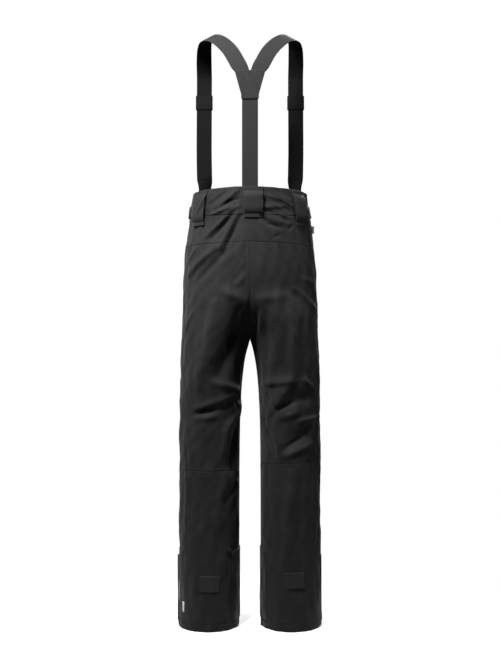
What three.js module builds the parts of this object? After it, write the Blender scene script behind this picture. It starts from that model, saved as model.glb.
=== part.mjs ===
// Insulated ski pants with elastic braces, filled out as when worn. Millimetres, +Z up.
// The wearer faces +Y, so the back of the pants faces -Y and the wearer's right leg is on +X.
// The origin is the middle of the waist opening, level with the waistband's top edge at the sides.
import * as THREE from "three";

// ---- Driving dimensions -------------------------------------------------------------------

// Heights, measured from the origin.
const HEM = -1052; // lower edge of both legs
const CROTCH = -355; // where the inseams meet
const CROTCH_RISE = 170; // height over which two leg sections merge into one hip section
const KNEE_TOP = -470; // the articulated knee panels start here
const KNEE_SEAM = -670; // and end at this seam
const BACK_RISE = 6; // top edge of the waistband at the back, above the sides
const FRONT_DROP = 14; // top edge of the waistband at the front, below the sides
const WAISTBAND = 62; // lower edge of the waistband, below the origin
const YOKE = 125; // back yoke seam, below the origin
const YOKE_DIP = 8; // how much lower that seam is at the outseams
const HEM_BAND = 18; // height of the hem band

// Widths over both sides, and depths from the middle plane.
const WAIST_WIDTH = 276;
const HIP_WIDTH = 334;
const LEG_WIDTH = 148;
const LEG_GAP = 26; // half the gap between the legs below the knee
const GAP_RUN = 78; // height over which that gap opens
const WAIST_DEPTH = 110;
const SEAT_DEPTH = 124;
const LEG_DEPTH = 87;

// Cloth thicknesses and clearances.
const CLOTH = 3.5; // shell, insulation and lining together
const BAND_CLOTH = 5; // waistband
const HEM_CLOTH = 4;
const SEAM = 0.36; // clearance between two sewn pieces
const LAID_ON = 0.35; // clearance under a piece that is sewn on top of another
const QUARTER_FACETS = 10; // facets from the outseam to the centre seam or inseam

// Trims. u is the place round the body: see skin().
const BELT_LOOP = { width: 44, cloth: 1.8, stand: 10, foot: 9, back: 0.39, front: 0.63, bottom: -84 };
const CENTRE_LOOP = { shift: 8, bottom: -68 };
const ZIP_TAPE = { width: 26, cloth: 1.2 };
const ZIP_SLIDER = { width: 9, height: 13, depth: 3.6, tab: 22, tabCloth: 1.6, clearance: 0.45 };
const FLY = { top: -86, aboveCrotch: 123 };
const POCKET = { top: -92, bottom: -252, u: 0.27 };
const ANKLE_ZIP = { top: -868, foot: 5, u: 0.1, height: 26 };
const FLAP = { width: 14, cloth: 1.4, u: 0.022, top: -884, foot: 7, leftStand: 4, rightStand: 0.4 };
const GUARD = { top: -860, width: 116, cloth: 1.2, slant: 8 };
const CUFF_TAB = { width: 47, height: 38, cloth: 1.6, rightU: -0.47, rightZ: -930, leftU: -0.517, leftZ: -938 };
const HIP_TAG = { u: -0.012, z: -88, height: 18, stand: 5, cloth: 1.2 };
const ANKLE_TAG = { u: -0.2, z: -1000, height: 25, width: 8, cloth: 0.8 };
const GAITER = { top: -884, foot: 16, cloth: 1.4, inset: 22 };
const SIDE_TAB = { z: -46, height: 28, cloth: 1.8, sewn: 0.3, free: -0.1 };
const CLOSURE = { z: -40, height: 38, left: -24, right: 27, cloth: 2.4, room: 2.4 };
const SNAP = { x: 12, stud: 4.5, studHeight: 1.5, cap: 7, capHeight: 1.6 };

// Braces.
const WEBBING = { width: 38, cloth: 2 };
const BACK_STRAP = { foot: -26, top: 252, play: 2.2, lean: 3.3 };
const PATCH = { bottom: 207, neck: 222, top: 282, halfBottom: 21, halfTop: 37, cloth: 2 };
const SHOULDER = { start: 262, top: 389 };
const FRONT_STRAP = { top: 300, bottom: 130, topDepth: 88, bottomDepth: 71 };
const DOUBLED = { gap: 3.1, top: 257 }; // the second layer, from the ring up to the adjuster
const ADJUSTER = { z: 239, height: 36, wall: 1.8, play: 0.5 };
const RING = { u: 0.37, wire: 2.6, opening: 6, side: 1.2, lift: 6, merge: 30 };
const RING_TAB = { width: 30, cloth: 1.8, bottom: -29 };

const finish = (color, roughness, metalness = 0) =>
  new THREE.MeshStandardMaterial({ color, roughness, metalness });
const cloths = {
  shell: finish(0x1b1c1e, 0.82),
  webbing: finish(0x141414, 0.9),
  knit: finish(0x26272a, 0.95),
  zip: finish(0x111112, 0.6),
  plastic: finish(0x0f0f10, 0.4),
  metal: finish(0x3a3b3d, 0.35, 1),
  label: finish(0xd8d9d8, 0.7),
};
const SIDES = [[1, "right"], [-1, "left"]];

// ---- The outer surface of the garment ------------------------------------------------------

const mix = (a, b, share) => a + (b - a) * share;
const half = (share) => mix(WAIST_WIDTH, HIP_WIDTH, share) / 2;
const hemHalf = LEG_GAP + LEG_WIDTH;
const KNEE = (KNEE_TOP + KNEE_SEAM) / 2;

// [height, size] stations for the half width, the depth behind and the depth in front.
const HALF_WIDTH = [
  [20, half(-0.07)], [0, half(0)], [-45, half(0.25)], [-110, half(0.52)], [-180, half(0.75)],
  [CROTCH, half(1)], [KNEE_TOP, mix(half(1), hemHalf, 0.5)], [KNEE_SEAM, hemHalf - 2], [HEM - 10, hemHalf],
];
const DEPTH_BACK = [
  [20, WAIST_DEPTH - 2], [0, WAIST_DEPTH], [-60, WAIST_DEPTH + 4], [-190, SEAT_DEPTH],
  [CROTCH, mix(SEAT_DEPTH, LEG_DEPTH, 0.42)], [KNEE, LEG_DEPTH + 1], [KNEE_SEAM - 90, LEG_DEPTH - 1],
  [HEM - 10, LEG_DEPTH + 1],
];
const DEPTH_FRONT = [
  [20, WAIST_DEPTH], [0, WAIST_DEPTH + 1], [-60, WAIST_DEPTH + 3], [-190, WAIST_DEPTH + 5],
  [CROTCH, mix(WAIST_DEPTH, LEG_DEPTH, 0.2)], [KNEE, LEG_DEPTH + 5], [KNEE_SEAM - 90, LEG_DEPTH - 1],
  [HEM - 10, LEG_DEPTH + 1],
];

// A smooth value at height z through stations that run downwards.
function along(stations, z) {
  const last = stations.length - 1;
  const below = stations.findIndex(([height]) => height < z);
  const i = THREE.MathUtils.clamp(below < 0 ? last - 1 : below - 1, 0, last - 1);
  const slope = (k) => {
    const [a, b] = [stations[Math.max(k - 1, 0)], stations[Math.min(k + 1, last)]];
    return (b[1] - a[1]) / (b[0] - a[0]);
  };
  const [[z0, v0], [z1, v1]] = [stations[i], stations[i + 1]];
  const t = THREE.MathUtils.clamp((z - z0) / (z1 - z0), 0, 1);
  const bend = (z1 - z0) * t * (1 - t) * (slope(i) * (1 - t) - slope(i + 1) * t);
  return mix(v0, v1, (3 - 2 * t) * t * t) + bend;
}

// Where a leg section ends on the inside: past the middle plane above the crotch, clear of it below.
function innerEdge(z, outer) {
  const down = CROTCH - z;
  if (down >= 0) return LEG_GAP * (1 - Math.exp(-down / GAP_RUN));
  const s = Math.min(-down / CROTCH_RISE, 1);
  const startSlope = (LEG_GAP / GAP_RUN) * (CROTCH_RISE / outer);
  return -outer * (startSlope * s * (1 - s) ** 2 + s * s * (3 - 2 * s));
}

// A point on the surface. u runs from -1 at the centre back seam or inseam, over 0 at the outseam,
// to 1 at the centre front seam or inseam. side is 1 for the right leg and -1 for the left.
function skin(side, u, z) {
  const outer = along(HALF_WIDTH, z);
  const inner = innerEdge(z, outer);
  const centre = (outer + inner) / 2;
  const radius = (outer - inner) / 2;
  const angle = u * Math.acos(THREE.MathUtils.clamp(-centre / radius, -1, 1));
  const depth = angle < 0 ? along(DEPTH_BACK, z) : along(DEPTH_FRONT, z);
  const x = SEAM / 2 + centre + radius * Math.cos(angle);
  return new THREE.Vector3(side * x, depth * Math.sin(angle), z);
}

// The level directions at a point: round the body towards rising u, and outwards.
function level(side, u, z) {
  const step = 0.002;
  const round = skin(side, u + step, z).sub(skin(side, u - step, z));
  const perU = round.length() / (2 * step);
  round.normalize();
  return { round, perU, out: new THREE.Vector3(side * round.y, -side * round.x, 0) };
}

// A point near the surface: across is a distance round the body from u, off a distance outwards.
function onBody(side, u, across, z, off) {
  const at = u + across / level(side, u, z).perU;
  return skin(side, at, z).addScaledVector(level(side, at, z).out, off);
}

// How far the middle of a straight facet lies under the curved surface.
function dip(side, u, span, z) {
  const [low, high] = [-span / 2, span / 2].map((across) => onBody(side, u, across, z, 0));
  return low.lerp(high, 0.5).distanceTo(skin(side, u, z));
}

// Height of the waistband's top edge.
function waistTop(u) {
  const share = Math.sin((u * Math.PI) / 2) ** 2;
  return (u < 0 ? BACK_RISE : -FRONT_DROP) * share;
}

// ---- Solids --------------------------------------------------------------------------------

const root = new THREE.Group();

function add(name, geometry, material) {
  geometry.computeVertexNormals();
  const mesh = new THREE.Mesh(geometry, material);
  mesh.name = name;
  root.add(mesh);
}

const steps = (from, to, count) => Array.from({ length: count + 1 }, (_, i) => mix(from, to, i / count));

// A closed surface that faces outwards, from points and triples of their numbers.
function solid(points, triangles) {
  const cross = new THREE.Vector3();
  const inside = triangles.reduce((sum, [a, b, c]) => {
    return sum + points[a].dot(cross.crossVectors(points[b], points[c]));
  }, 0);
  const faces = inside < 0 ? triangles.map(([a, b, c]) => [a, c, b]) : triangles;
  const geometry = new THREE.BufferGeometry();
  const places = points.flatMap((p) => p.toArray());
  geometry.setAttribute("position", new THREE.Float32BufferAttribute(places, 3));
  return geometry.setIndex(faces.flat());
}

// Sections with the same number of corners, joined in order. cap is the list of triangles that
// closes the first and last section; without one the last section is joined to the first.
function loft(sections, cap) {
  const n = sections[0].length;
  const spans = cap ? sections.length - 1 : sections.length;
  const triangles = [];
  for (let i = 0; i < spans; i++) {
    const [a, b] = [i * n, ((i + 1) % sections.length) * n];
    for (let k = 0; k < n; k++) {
      const m = (k + 1) % n;
      triangles.push([a + k, a + m, b + k], [a + m, b + m, b + k]);
    }
  }
  const end = (sections.length - 1) * n;
  for (const [p, q, r] of cap ?? []) triangles.push([p, r, q], [end + p, end + q, end + r]);
  return solid(sections.flat(), triangles);
}

// Triangles over a section made of n points and the same number coming back.
function stripCap(n) {
  return steps(0, n - 2, n - 2).flatMap((k) => {
    const back = 2 * n - 1 - k;
    return [[k, k + 1, back], [k + 1, back - 1, back]];
  });
}

// A cloth panel. stations lists [side, u] across it; top and bottom give heights as functions of u;
// off is how far its outer face stands off the surface, as a function of the share across.
function panel(stations, top, bottom, rows, cloth, off = () => 0) {
  const last = stations.length - 1;
  const sections = steps(0, 1, rows).map((t) => {
    const row = (deeper) =>
      stations.map(([side, u], i) => onBody(side, u, 0, mix(bottom(u), top(u), t), off(i / last) - deeper));
    return [...row(0), ...row(cloth).reverse()];
  });
  return loft(sections, stripCap(stations.length));
}

// A closed tube of cloth inside or round one leg. inset(z) is how far it lies under the surface.
function sleeve(side, heights, cloth, inset) {
  const us = steps(-1, 1, 2 * QUARTER_FACETS).slice(0, -1);
  const sections = us.map((u) => [
    ...heights.map((z) => onBody(side, u, 0, z, -inset(z))),
    ...heights.map((z) => onBody(side, u, 0, z, -inset(z) - cloth)).reverse(),
  ]);
  return loft(sections);
}

// The outline of a bent strip of cloth, from its centreline of [a, b] points.
function stripOutline(line, cloth) {
  const shifted = (share) =>
    line.map((p, i) => {
      const [q, r] = [line[Math.max(i - 1, 0)], line[Math.min(i + 1, line.length - 1)]];
      const length = Math.hypot(r[0] - q[0], r[1] - q[1]);
      return [p[0] - ((r[1] - q[1]) / length) * cloth * share, p[1] + ((r[0] - q[0]) / length) * cloth * share];
    });
  return [...shifted(0.5), ...shifted(-0.5).reverse()];
}

// A strip that follows the body sideways and a line of [height, off] points up and down.
function bentStrip(side, u, width, line, cloth, facets = 3, shift = 0) {
  const lift = dip(side, u, width / facets, line[0][0]);
  const outline = stripOutline(line, cloth);
  const sections = steps(shift - width / 2, shift + width / 2, facets).map((across) =>
    outline.map(([z, off]) => onBody(side, u, across, z, off + lift)),
  );
  return loft(sections, stripCap(line.length));
}

// A patch of cloth laid on the body.
function patchOn(side, u, width, top, bottom, cloth) {
  const line = steps(bottom, top, 2).map((z) => [z, LAID_ON + cloth / 2]);
  return bentStrip(side, u, width, line, cloth);
}

// A prism across a frame { at, across, out, up }, from an outline of [up, out] points.
function prism(frame, outline, width, cap = outlineCap(outline)) {
  const sections = [-width / 2, width / 2].map((across) =>
    outline.map(([up, out]) =>
      frame.at.clone().addScaledVector(frame.up, up).addScaledVector(frame.out, out)
        .addScaledVector(frame.across, across)),
  );
  return loft(sections, cap);
}

function outlineCap(outline) {
  const corners = outline.map(([up, out]) => new THREE.Vector2(up, out));
  return THREE.ShapeUtils.triangulateShape(corners, []);
}

// A rectangular frame in the across-up plane, or across-out plane when the walls run along up.
function hollowBox(frame, outer, inner, length, [first, second, through]) {
  const ring = ([w, h], at) =>
    [[-1, -1], [1, -1], [1, 1], [-1, 1]].map(([i, k]) =>
      frame.at.clone().addScaledVector(frame[first], (i * w) / 2).addScaledVector(frame[second], (k * h) / 2)
        .addScaledVector(frame[through], at));
  const sections = [[outer, -1], [outer, 1], [inner, 1], [inner, -1]].map(([size, end]) =>
    ring(size, (end * length) / 2));
  return loft(sections);
}

// Webbing along frames { at, across, out }.
function ribbon(frames, width, cloth) {
  const sections = frames.map(({ at, across, out }) =>
    [[-1, -1], [1, -1], [1, 1], [-1, 1]].map(([i, k]) =>
      at.clone().addScaledVector(across, (i * width) / 2).addScaledVector(out, (k * cloth) / 2)),
  );
  return loft(sections, [[0, 1, 2], [0, 2, 3]]);
}

// ---- Pants ---------------------------------------------------------------------------------

const EDGE = 0.0022; // share of u kept clear at a seam
const flat = (z) => () => z;
const yokeSeam = (u) => -YOKE - YOKE_DIP * (1 - Math.abs(u));
const under = (height) => (u) => height(u) - SEAM;
const rowsFor = (height) => Math.max(2, Math.round(height / 45));

function quarter(side, front) {
  const [from, to] = front ? [EDGE, 1 - EDGE] : [-EDGE, -1 + EDGE];
  return steps(from, to, QUARTER_FACETS).map((u) => [side, u]);
}

function waist() {
  const back = [...quarter(-1, false), ...quarter(1, false).reverse()];
  add("waistband_back", panel(back, waistTop, flat(-WAISTBAND), 2, BAND_CLOTH), cloths.shell);
  add("back_yoke", panel(back, under(flat(-WAISTBAND)), yokeSeam, 2, CLOTH), cloths.shell);
  for (const [side, name] of SIDES) {
    const front = panel(quarter(side, true), waistTop, flat(-WAISTBAND), 2, BAND_CLOTH);
    add(`${name}_waistband_front`, front, cloths.shell);
  }
}

function leg(side, name) {
  const cut = (part, front, top, bottom) => {
    const rows = rowsFor(top(0) - bottom(0));
    add(`${name}_${part}`, panel(quarter(side, front), top, bottom, rows, CLOTH), cloths.shell);
  };
  cut("seat_panel", false, under(yokeSeam), flat(KNEE_TOP));
  cut("front_panel", true, under(flat(-WAISTBAND)), flat(KNEE_TOP));
  for (const [front, knee, shin] of [[true, "knee_front", "shin"], [false, "knee_back", "calf"]]) {
    cut(`${knee}_panel`, front, flat(KNEE_TOP - SEAM), flat(KNEE_SEAM));
    cut(`${shin}_panel`, front, flat(KNEE_SEAM - SEAM), flat(HEM + HEM_BAND));
  }
  const band = [HEM, HEM + HEM_BAND - SEAM];
  add(`${name}_hem_band`, sleeve(side, band, HEM_CLOTH, () => 0), cloths.shell);
}

// The snow gaiter: a knitted cuff sewn inside the leg that narrows to grip the boot.
function gaiter(side, name) {
  const [foot, start] = [HEM + GAITER.foot, HEM_CLOTH + LAID_ON];
  const inset = (z) => {
    const down = (GAITER.top - z) / (GAITER.top - foot);
    return mix(GAITER.inset, start, (1 - down) ** 2);
  };
  add(`${name}_snow_gaiter`, sleeve(side, steps(foot, GAITER.top, 4), GAITER.cloth, inset), cloths.knit);
}

// The scuff guard on the inner ankle, laid over the inseam; its top edge falls away on both sides.
function scuffGuard(side, name) {
  const bottom = HEM + HEM_BAND + 2;
  const share = GUARD.width / 2 / level(side, -1, bottom).perU;
  const stations = steps(-share, share, 6).map((d) => [side, d < 0 ? 1 + d : -1 + d]);
  const top = (u) => GUARD.top - (GUARD.slant * (1 - Math.abs(u))) / share;
  const off = LAID_ON + GUARD.cloth + dip(side, -1, GUARD.width / 6, bottom);
  add(`${name}_scuff_guard`, panel(stations, top, flat(bottom), 3, GUARD.cloth, () => off), cloths.shell);
}

// A belt loop: sewn down at both ends, standing off the waistband between them.
function beltLoop(name, side, u, bottom, shift = 0) {
  const { width, cloth, stand, foot } = BELT_LOOP;
  const top = waistTop(u) - 2;
  const [low, high] = [LAID_ON + cloth / 2, stand + cloth / 2];
  const line = [[bottom, low], [bottom + foot, low], [bottom + foot + 4, high]];
  const upper = [[top - foot - 4, high], [top - foot, low], [top, low]];
  add(name, bentStrip(side, u, width, [...line, ...upper], cloth, 3, shift), cloths.shell);
}

function trims(side, name) {
  beltLoop(`${name}_back_belt_loop`, side, -BELT_LOOP.back, BELT_LOOP.bottom);
  beltLoop(`${name}_front_belt_loop`, side, BELT_LOOP.front, BELT_LOOP.bottom);
  const u = side > 0 ? CUFF_TAB.rightU : CUFF_TAB.leftU;
  const z = side > 0 ? CUFF_TAB.rightZ : CUFF_TAB.leftZ;
  const [top, bottom] = [z + CUFF_TAB.height / 2, z - CUFF_TAB.height / 2];
  add(`${name}_cuff_tab`, patchOn(side, u, CUFF_TAB.width, top, bottom, CUFF_TAB.cloth), cloths.shell);
  const stand = side > 0 ? FLAP.rightStand : FLAP.leftStand;
  const share = FLAP.width / 2 / level(side, FLAP.u, HEM).perU;
  const stations = steps(FLAP.u - share, FLAP.u + share, 2).map((at) => [side, at]);
  const off = (t) => LAID_ON + FLAP.cloth + stand * t;
  const flap = panel(stations, flat(FLAP.top), flat(HEM + FLAP.foot), 2, FLAP.cloth, off);
  add(`${name}_ankle_flap`, flap, cloths.webbing);
}

// The upright frame at a surface point, lifted off it.
function frameAt(side, u, z, off) {
  const { round, out } = level(side, u, z);
  return { at: onBody(side, u, 0, z, off), across: round, out, up: new THREE.Vector3(0, 0, 1) };
}

function tags() {
  const { height, stand, cloth } = HIP_TAG;
  const frame = frameAt(1, HIP_TAG.u, HIP_TAG.z, LAID_ON);
  const rise = (up) => onBody(1, HIP_TAG.u, 0, HIP_TAG.z + up, LAID_ON).sub(frame.at).dot(frame.out);
  const edge = (up, off) => [up, off + rise(up)];
  const outline = [[-0.5, 0], [0.5, 0], [0.5, stand], [-0.5, stand]].map(([k, off]) => edge(k * height, off));
  add("right_hip_tag", prism(frame, outline, cloth), cloths.label);
  const { u, z, width } = ANKLE_TAG;
  const [top, bottom] = [z + ANKLE_TAG.height / 2, z - ANKLE_TAG.height / 2];
  add("left_ankle_tag", patchOn(-1, u, width, top, bottom, ANKLE_TAG.cloth), cloths.label);
}

// ---- Closures ------------------------------------------------------------------------------

// A straight zip over the surface from top to bottom, lifted until it clears the bulge between.
function zip(name, side, u, top, bottom, sliderTop) {
  const ends = [top, bottom].map((z) => onBody(side, u, 0, z, 0));
  const { round, out } = level(side, u, (top + bottom) / 2);
  const up = ends[0].clone().sub(ends[1]).normalize();
  const level2 = out.clone().addScaledVector(up, -out.dot(up)).normalize();
  const bulge = Math.max(...steps(top, bottom, 8).map((z) => skin(side, u, z).sub(ends[0]).dot(level2)));
  const edge = Math.max(0, ...[-1, 1].map((k) => {
    const z = bottom;
    return onBody(side, u, (k * ZIP_TAPE.width) / 2, z, 0).sub(ends[1]).dot(level2);
  }));
  const lift = bulge + edge + LAID_ON + ZIP_TAPE.cloth / 2;
  const frames = ends.map((end) => ({ at: end.addScaledVector(level2, lift), across: round, out: level2 }));
  add(`${name}_tape`, ribbon(frames, ZIP_TAPE.width, ZIP_TAPE.cloth), cloths.zip);
  const at = frames[1].at.clone().lerp(frames[0].at, (sliderTop - bottom) / (top - bottom));
  at.addScaledVector(level2, ZIP_TAPE.cloth / 2 + ZIP_SLIDER.clearance);
  const { height, depth, tab, tabCloth, width } = ZIP_SLIDER;
  const hang = -height * 0.2;
  const outline = [
    [0, 0], [hang, depth], [hang, depth + tabCloth], [hang - tab, depth + tabCloth], [hang - tab, depth],
    [-height * 0.6, depth - 0.7], [-height, depth - 1.4], [-height, 0],
  ];
  add(`${name}_slider`, prism({ at, across: round, out: level2, up }, outline, width), cloths.metal);
}

function zips() {
  zip("fly_zip", 1, 1, FLY.top, CROTCH + FLY.aboveCrotch, FLY.top - 2);
  for (const [side, name] of SIDES) {
    zip(`${name}_pocket_zip`, side, POCKET.u, POCKET.top, POCKET.bottom, POCKET.top - 2);
    const foot = HEM + ANKLE_ZIP.foot;
    zip(`${name}_ankle_zip`, side, ANKLE_ZIP.u, ANKLE_ZIP.top, foot, foot + ANKLE_ZIP.height);
  }
}

// The waist adjusters at the sides: sewn at the front end, held by hook and loop.
function sideTab(side, name) {
  const { z, height, cloth, sewn, free } = SIDE_TAB;
  const stations = steps(sewn, free, 4).map((u) => [side, u]);
  const span = (Math.abs(sewn - free) / 4) * level(side, 0, z).perU;
  const off = LAID_ON + cloth + dip(side, 0, span, z);
  const tab = panel(stations, flat(z + height / 2), flat(z - height / 2), 1, cloth, () => off);
  add(`${name}_adjuster_tab`, tab, cloths.shell);
}

// The closure tab over the fly: sewn at its left end, with a snap at the other.
function closure() {
  const { z, height, left, right, cloth, room } = CLOSURE;
  const depth = along(DEPTH_FRONT, z);
  const up = new THREE.Vector3(0, 0, 1);
  const [across, out] = [new THREE.Vector3(1, 0, 0), new THREE.Vector3(0, 1, 0)];
  const frame = (x, off) => ({ at: new THREE.Vector3(x, depth + off, z), across, out, up });
  const sewn = LAID_ON + cloth / 2;
  const line = [[left, sewn], [left + 8, sewn], [left + 14, room + cloth / 2], [right, room + cloth / 2]];
  const place = { at: new THREE.Vector3(0, depth, z), across: up, out, up: across };
  add("closure_tab", prism(place, stripOutline(line, cloth), height, stripCap(line.length)), cloths.shell);
  const disc = (name, radius, thick, off, material) => {
    const geometry = new THREE.CylinderGeometry(radius, radius, thick, 20);
    const { at } = frame(SNAP.x, off + thick / 2);
    add(name, geometry.translate(at.x, at.y, at.z), material);
  };
  disc("snap_stud", SNAP.stud, SNAP.studHeight, LAID_ON, cloths.metal);
  disc("snap_cap", SNAP.cap, SNAP.capHeight, room + cloth + LAID_ON, cloths.metal);
}

// ---- Braces --------------------------------------------------------------------------------

const vec = (x, y, z) => new THREE.Vector3(x, y, z);

// Frames along a smooth curve through [place, outward direction] pairs, up to the last but one.
function framesAlong(stops, count) {
  const curve = new THREE.CatmullRomCurve3(stops.map(([at]) => at), false, "centripetal");
  const last = stops.length - 1;
  return steps(0, 1 - 1 / last, count).map((t) => {
    const i = Math.min(Math.floor(t * last), last - 1);
    const facing = stops[i][1].clone().lerp(stops[i + 1][1], t * last - i);
    return framed(curve.getPoint(t), curve.getTangent(t), facing);
  });
}

function framed(at, along3, facing) {
  const across = facing.clone().cross(along3).normalize();
  return { at, across, out: along3.clone().cross(across).normalize(), along: along3 };
}

// Ends of the back strap's centreline: inside the waistband, and under the Y patch.
const backInset = BAND_CLOTH + BACK_STRAP.play + WEBBING.cloth / 2;
const backFoot = vec(0, -WAIST_DEPTH + backInset, BACK_STRAP.foot);
const backTop = vec(0, backFoot.y + BACK_STRAP.lean, BACK_STRAP.top);

function backStraps() {
  const up = backTop.clone().sub(backFoot).normalize();
  const frames = [backFoot, backTop].map((at) => framed(at, up, vec(0, -1, 0)));
  add("back_strap", ribbon(frames, WEBBING.width, WEBBING.cloth), cloths.webbing);
  const { bottom, neck, top, halfBottom, halfTop, cloth } = PATCH;
  const outline = [
    [bottom, -halfBottom], [neck, -halfBottom], [top, -halfTop],
    [top, halfTop], [neck, halfBottom], [bottom, halfBottom],
  ].map(([z, x]) => [z - BACK_STRAP.top, x]);
  const lift = WEBBING.cloth / 2 + LAID_ON + cloth / 2 + 0.1;
  const out = vec(0, -1, 0).addScaledVector(up, -up.dot(vec(0, -1, 0))).normalize();
  const at = backTop.clone().addScaledVector(out, lift);
  add("y_patch", prism({ at, across: out, out: vec(1, 0, 0), up }, outline, cloth), cloths.webbing);
}

// The ring's frame, standing on the waistband's top edge.
function ringFrame(side) {
  return frameAt(side, RING.u, waistTop(RING.u) + RING.lift, -BAND_CLOTH / 2);
}

// The straight part of a front strap, from its upper to its lower end.
function frontLine(side) {
  const x = Math.abs(ringFrame(side).at.x) + 1.7;
  return [
    vec(side * x, FRONT_STRAP.topDepth, FRONT_STRAP.top),
    vec(side * x, FRONT_STRAP.bottomDepth, FRONT_STRAP.bottom),
  ];
}

// The centreline of a shoulder strap, from the Y patch over the shoulder to the ring.
function strapStops(side) {
  const [top, bottom] = frontLine(side);
  const back = backTop.y;
  const inner = (WEBBING.width + SEAM) / 2 + 0.9;
  const spread = top.x * side - inner;
  const stop = (share, y, z, facing) => [vec(side * (inner + spread * share), y, z), vec(...facing)];
  return [
    stop(0, back + 0.3, SHOULDER.start, [0, -1, 0]),
    stop(0.016, back + 0.8, PATCH.top, [0, -1, 0.05]),
    stop(0.12, back + 6, PATCH.top + 22, [0, -1, 0.2]),
    stop(0.31, back + 20, PATCH.top + 54, [side * 0.1, -0.85, 0.5]),
    stop(0.63, back + 53, SHOULDER.top - 17, [side * 0.15, -0.5, 0.85]),
    stop(0.81, back + 90, SHOULDER.top, [side * 0.2, -0.1, 0.97]),
    stop(0.93, back + 130, SHOULDER.top - 11, [side * 0.22, 0.45, 0.85]),
    stop(0.98, back + 164, SHOULDER.top - 44, [side * 0.1, 0.85, 0.5]),
    [top, vec(0, 1, 0.1)],
    [bottom, vec(0, 1, 0.1)],
  ];
}

// A front strap's centreline at height z: straight down to its lower end, then bending and turning
// until it meets the ring squarely. layer is 1 for the outer layer and -1 for the doubled one; they
// part round the ring's bar.
function frontFrame(side, layer, z) {
  const ring = ringFrame(side);
  const foot = ringBar(ring);
  const [top, bottom] = frontLine(side);
  const down = bottom.clone().sub(top).normalize();
  const third = bottom.distanceTo(foot) / 3;
  const lead = [bottom.clone().addScaledVector(down, third), foot.clone().addScaledVector(ring.up, third)];
  const curve = new THREE.CubicBezierCurve3(bottom, ...lead, foot);
  const t = THREE.MathUtils.clamp((bottom.z - z) / (bottom.z - foot.z), 0, 1);
  const at = curve.getPoint(t);
  if (z > bottom.z) at.copy(top).addScaledVector(down, (z - top.z) / down.z);
  const facing = vec(0, 1, 0).lerp(ring.out, t * t * (3 - 2 * t));
  const frame = framed(at, t > 0 ? curve.getTangent(t) : down, facing);
  const nearRing = Math.max(0, 1 - (z - foot.z) / RING.merge) ** 2;
  const off = layer > 0 ? mix(0, ringTurn, nearRing) : mix(-DOUBLED.gap, -ringTurn, nearRing);
  frame.at.addScaledVector(frame.out, off);
  return frame;
}

// Radius of a webbing's turn round the ring, and the middle of the ring's upper bar.
const ringTurn = RING.wire * 0.71 + LAID_ON + WEBBING.cloth / 2;
const ringBar = (ring) => ring.at.clone().addScaledVector(ring.up, RING.opening + RING.wire);

// One piece of webbing from the Y patch over the shoulder, down the front and round the ring; the
// layer that comes back up to the adjuster is a second piece, which changes its length with it.
function frontStraps(side, name) {
  const ring = ringFrame(side);
  const foot = ringBar(ring);
  const layer = (which, from, to, count) => steps(from, to, count).map((z) => frontFrame(side, which, z));
  const upper = framesAlong(strapStops(side), 30);
  const straight = layer(1, FRONT_STRAP.top - 20, FRONT_STRAP.bottom, 3);
  const lower = layer(1, FRONT_STRAP.bottom - 8, foot.z + 1, 16);
  const { across } = lower[lower.length - 1];
  const bend = steps(0.25, 0.75, 2).map((share) => {
    const [cos, sin] = [Math.cos(share * Math.PI), Math.sin(share * Math.PI)];
    const out = ring.out.clone().multiplyScalar(cos).addScaledVector(ring.up, -sin);
    return { at: foot.clone().addScaledVector(out, ringTurn), across, out };
  });
  const join = foot.z + RING.merge;
  const rising = layer(-1, foot.z + 1, join, 3).map((f) => ({ ...f, out: f.out.clone().negate() }));
  const frames = [...upper, ...straight, ...lower, ...bend, ...rising];
  add(`${name}_shoulder_strap`, ribbon(frames, WEBBING.width, WEBBING.cloth), cloths.webbing);
  const doubled = layer(-1, join + 2 * SEAM, DOUBLED.top, 24);
  add(`${name}_strap_return`, ribbon(doubled, WEBBING.width, WEBBING.cloth), cloths.webbing);
}

function ringAndTab(side, name) {
  const ring = ringFrame(side);
  const { wire, opening } = RING;
  const inner = [WEBBING.width + 2 * RING.side, opening];
  const outer = [inner[0] + 2 * wire, opening + 2 * wire];
  const middle = { ...ring, at: ring.at.clone().addScaledVector(ring.up, (opening + wire) / 2) };
  add(`${name}_strap_ring`, hollowBox(middle, outer, inner, wire, ["across", "up", "out"]), cloths.metal);
  const { width, cloth, bottom } = RING_TAB;
  const sag = dip(side, RING.u, width, 0);
  const clear = BAND_CLOTH / 2 + sag + LAID_ON + cloth / 2;
  const within = clear + 2 * dip(side, RING.u, level(side, RING.u, 0).perU / QUARTER_FACETS, 0);
  const turn = wire * 0.71 + LAID_ON + cloth / 2;
  const low = bottom - ring.at.z;
  const edge = skin(side, RING.u, waistTop(RING.u));
  const leanAt = (z) => skin(side, RING.u, z).sub(edge).dot(ring.out);
  const lean = Math.max(leanAt(bottom), 2 * leanAt(mix(edge.z, bottom, 0.5)));
  const arc = steps(0.25, 0.75, 2).map((share) => share * Math.PI);
  const line = [
    [low, clear + lean], [-RING.lift - 1, clear], [-1.5, turn + 0.2],
    ...arc.map((a) => [turn * Math.sin(a), turn * Math.cos(a)]),
    [-1.5, -turn - 0.2], [-RING.lift - 1, -within], [low, lean - within],
  ];
  const tab = prism(ring, stripOutline(line, cloth), width, stripCap(line.length));
  add(`${name}_ring_tab`, tab, cloths.webbing);
}

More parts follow.
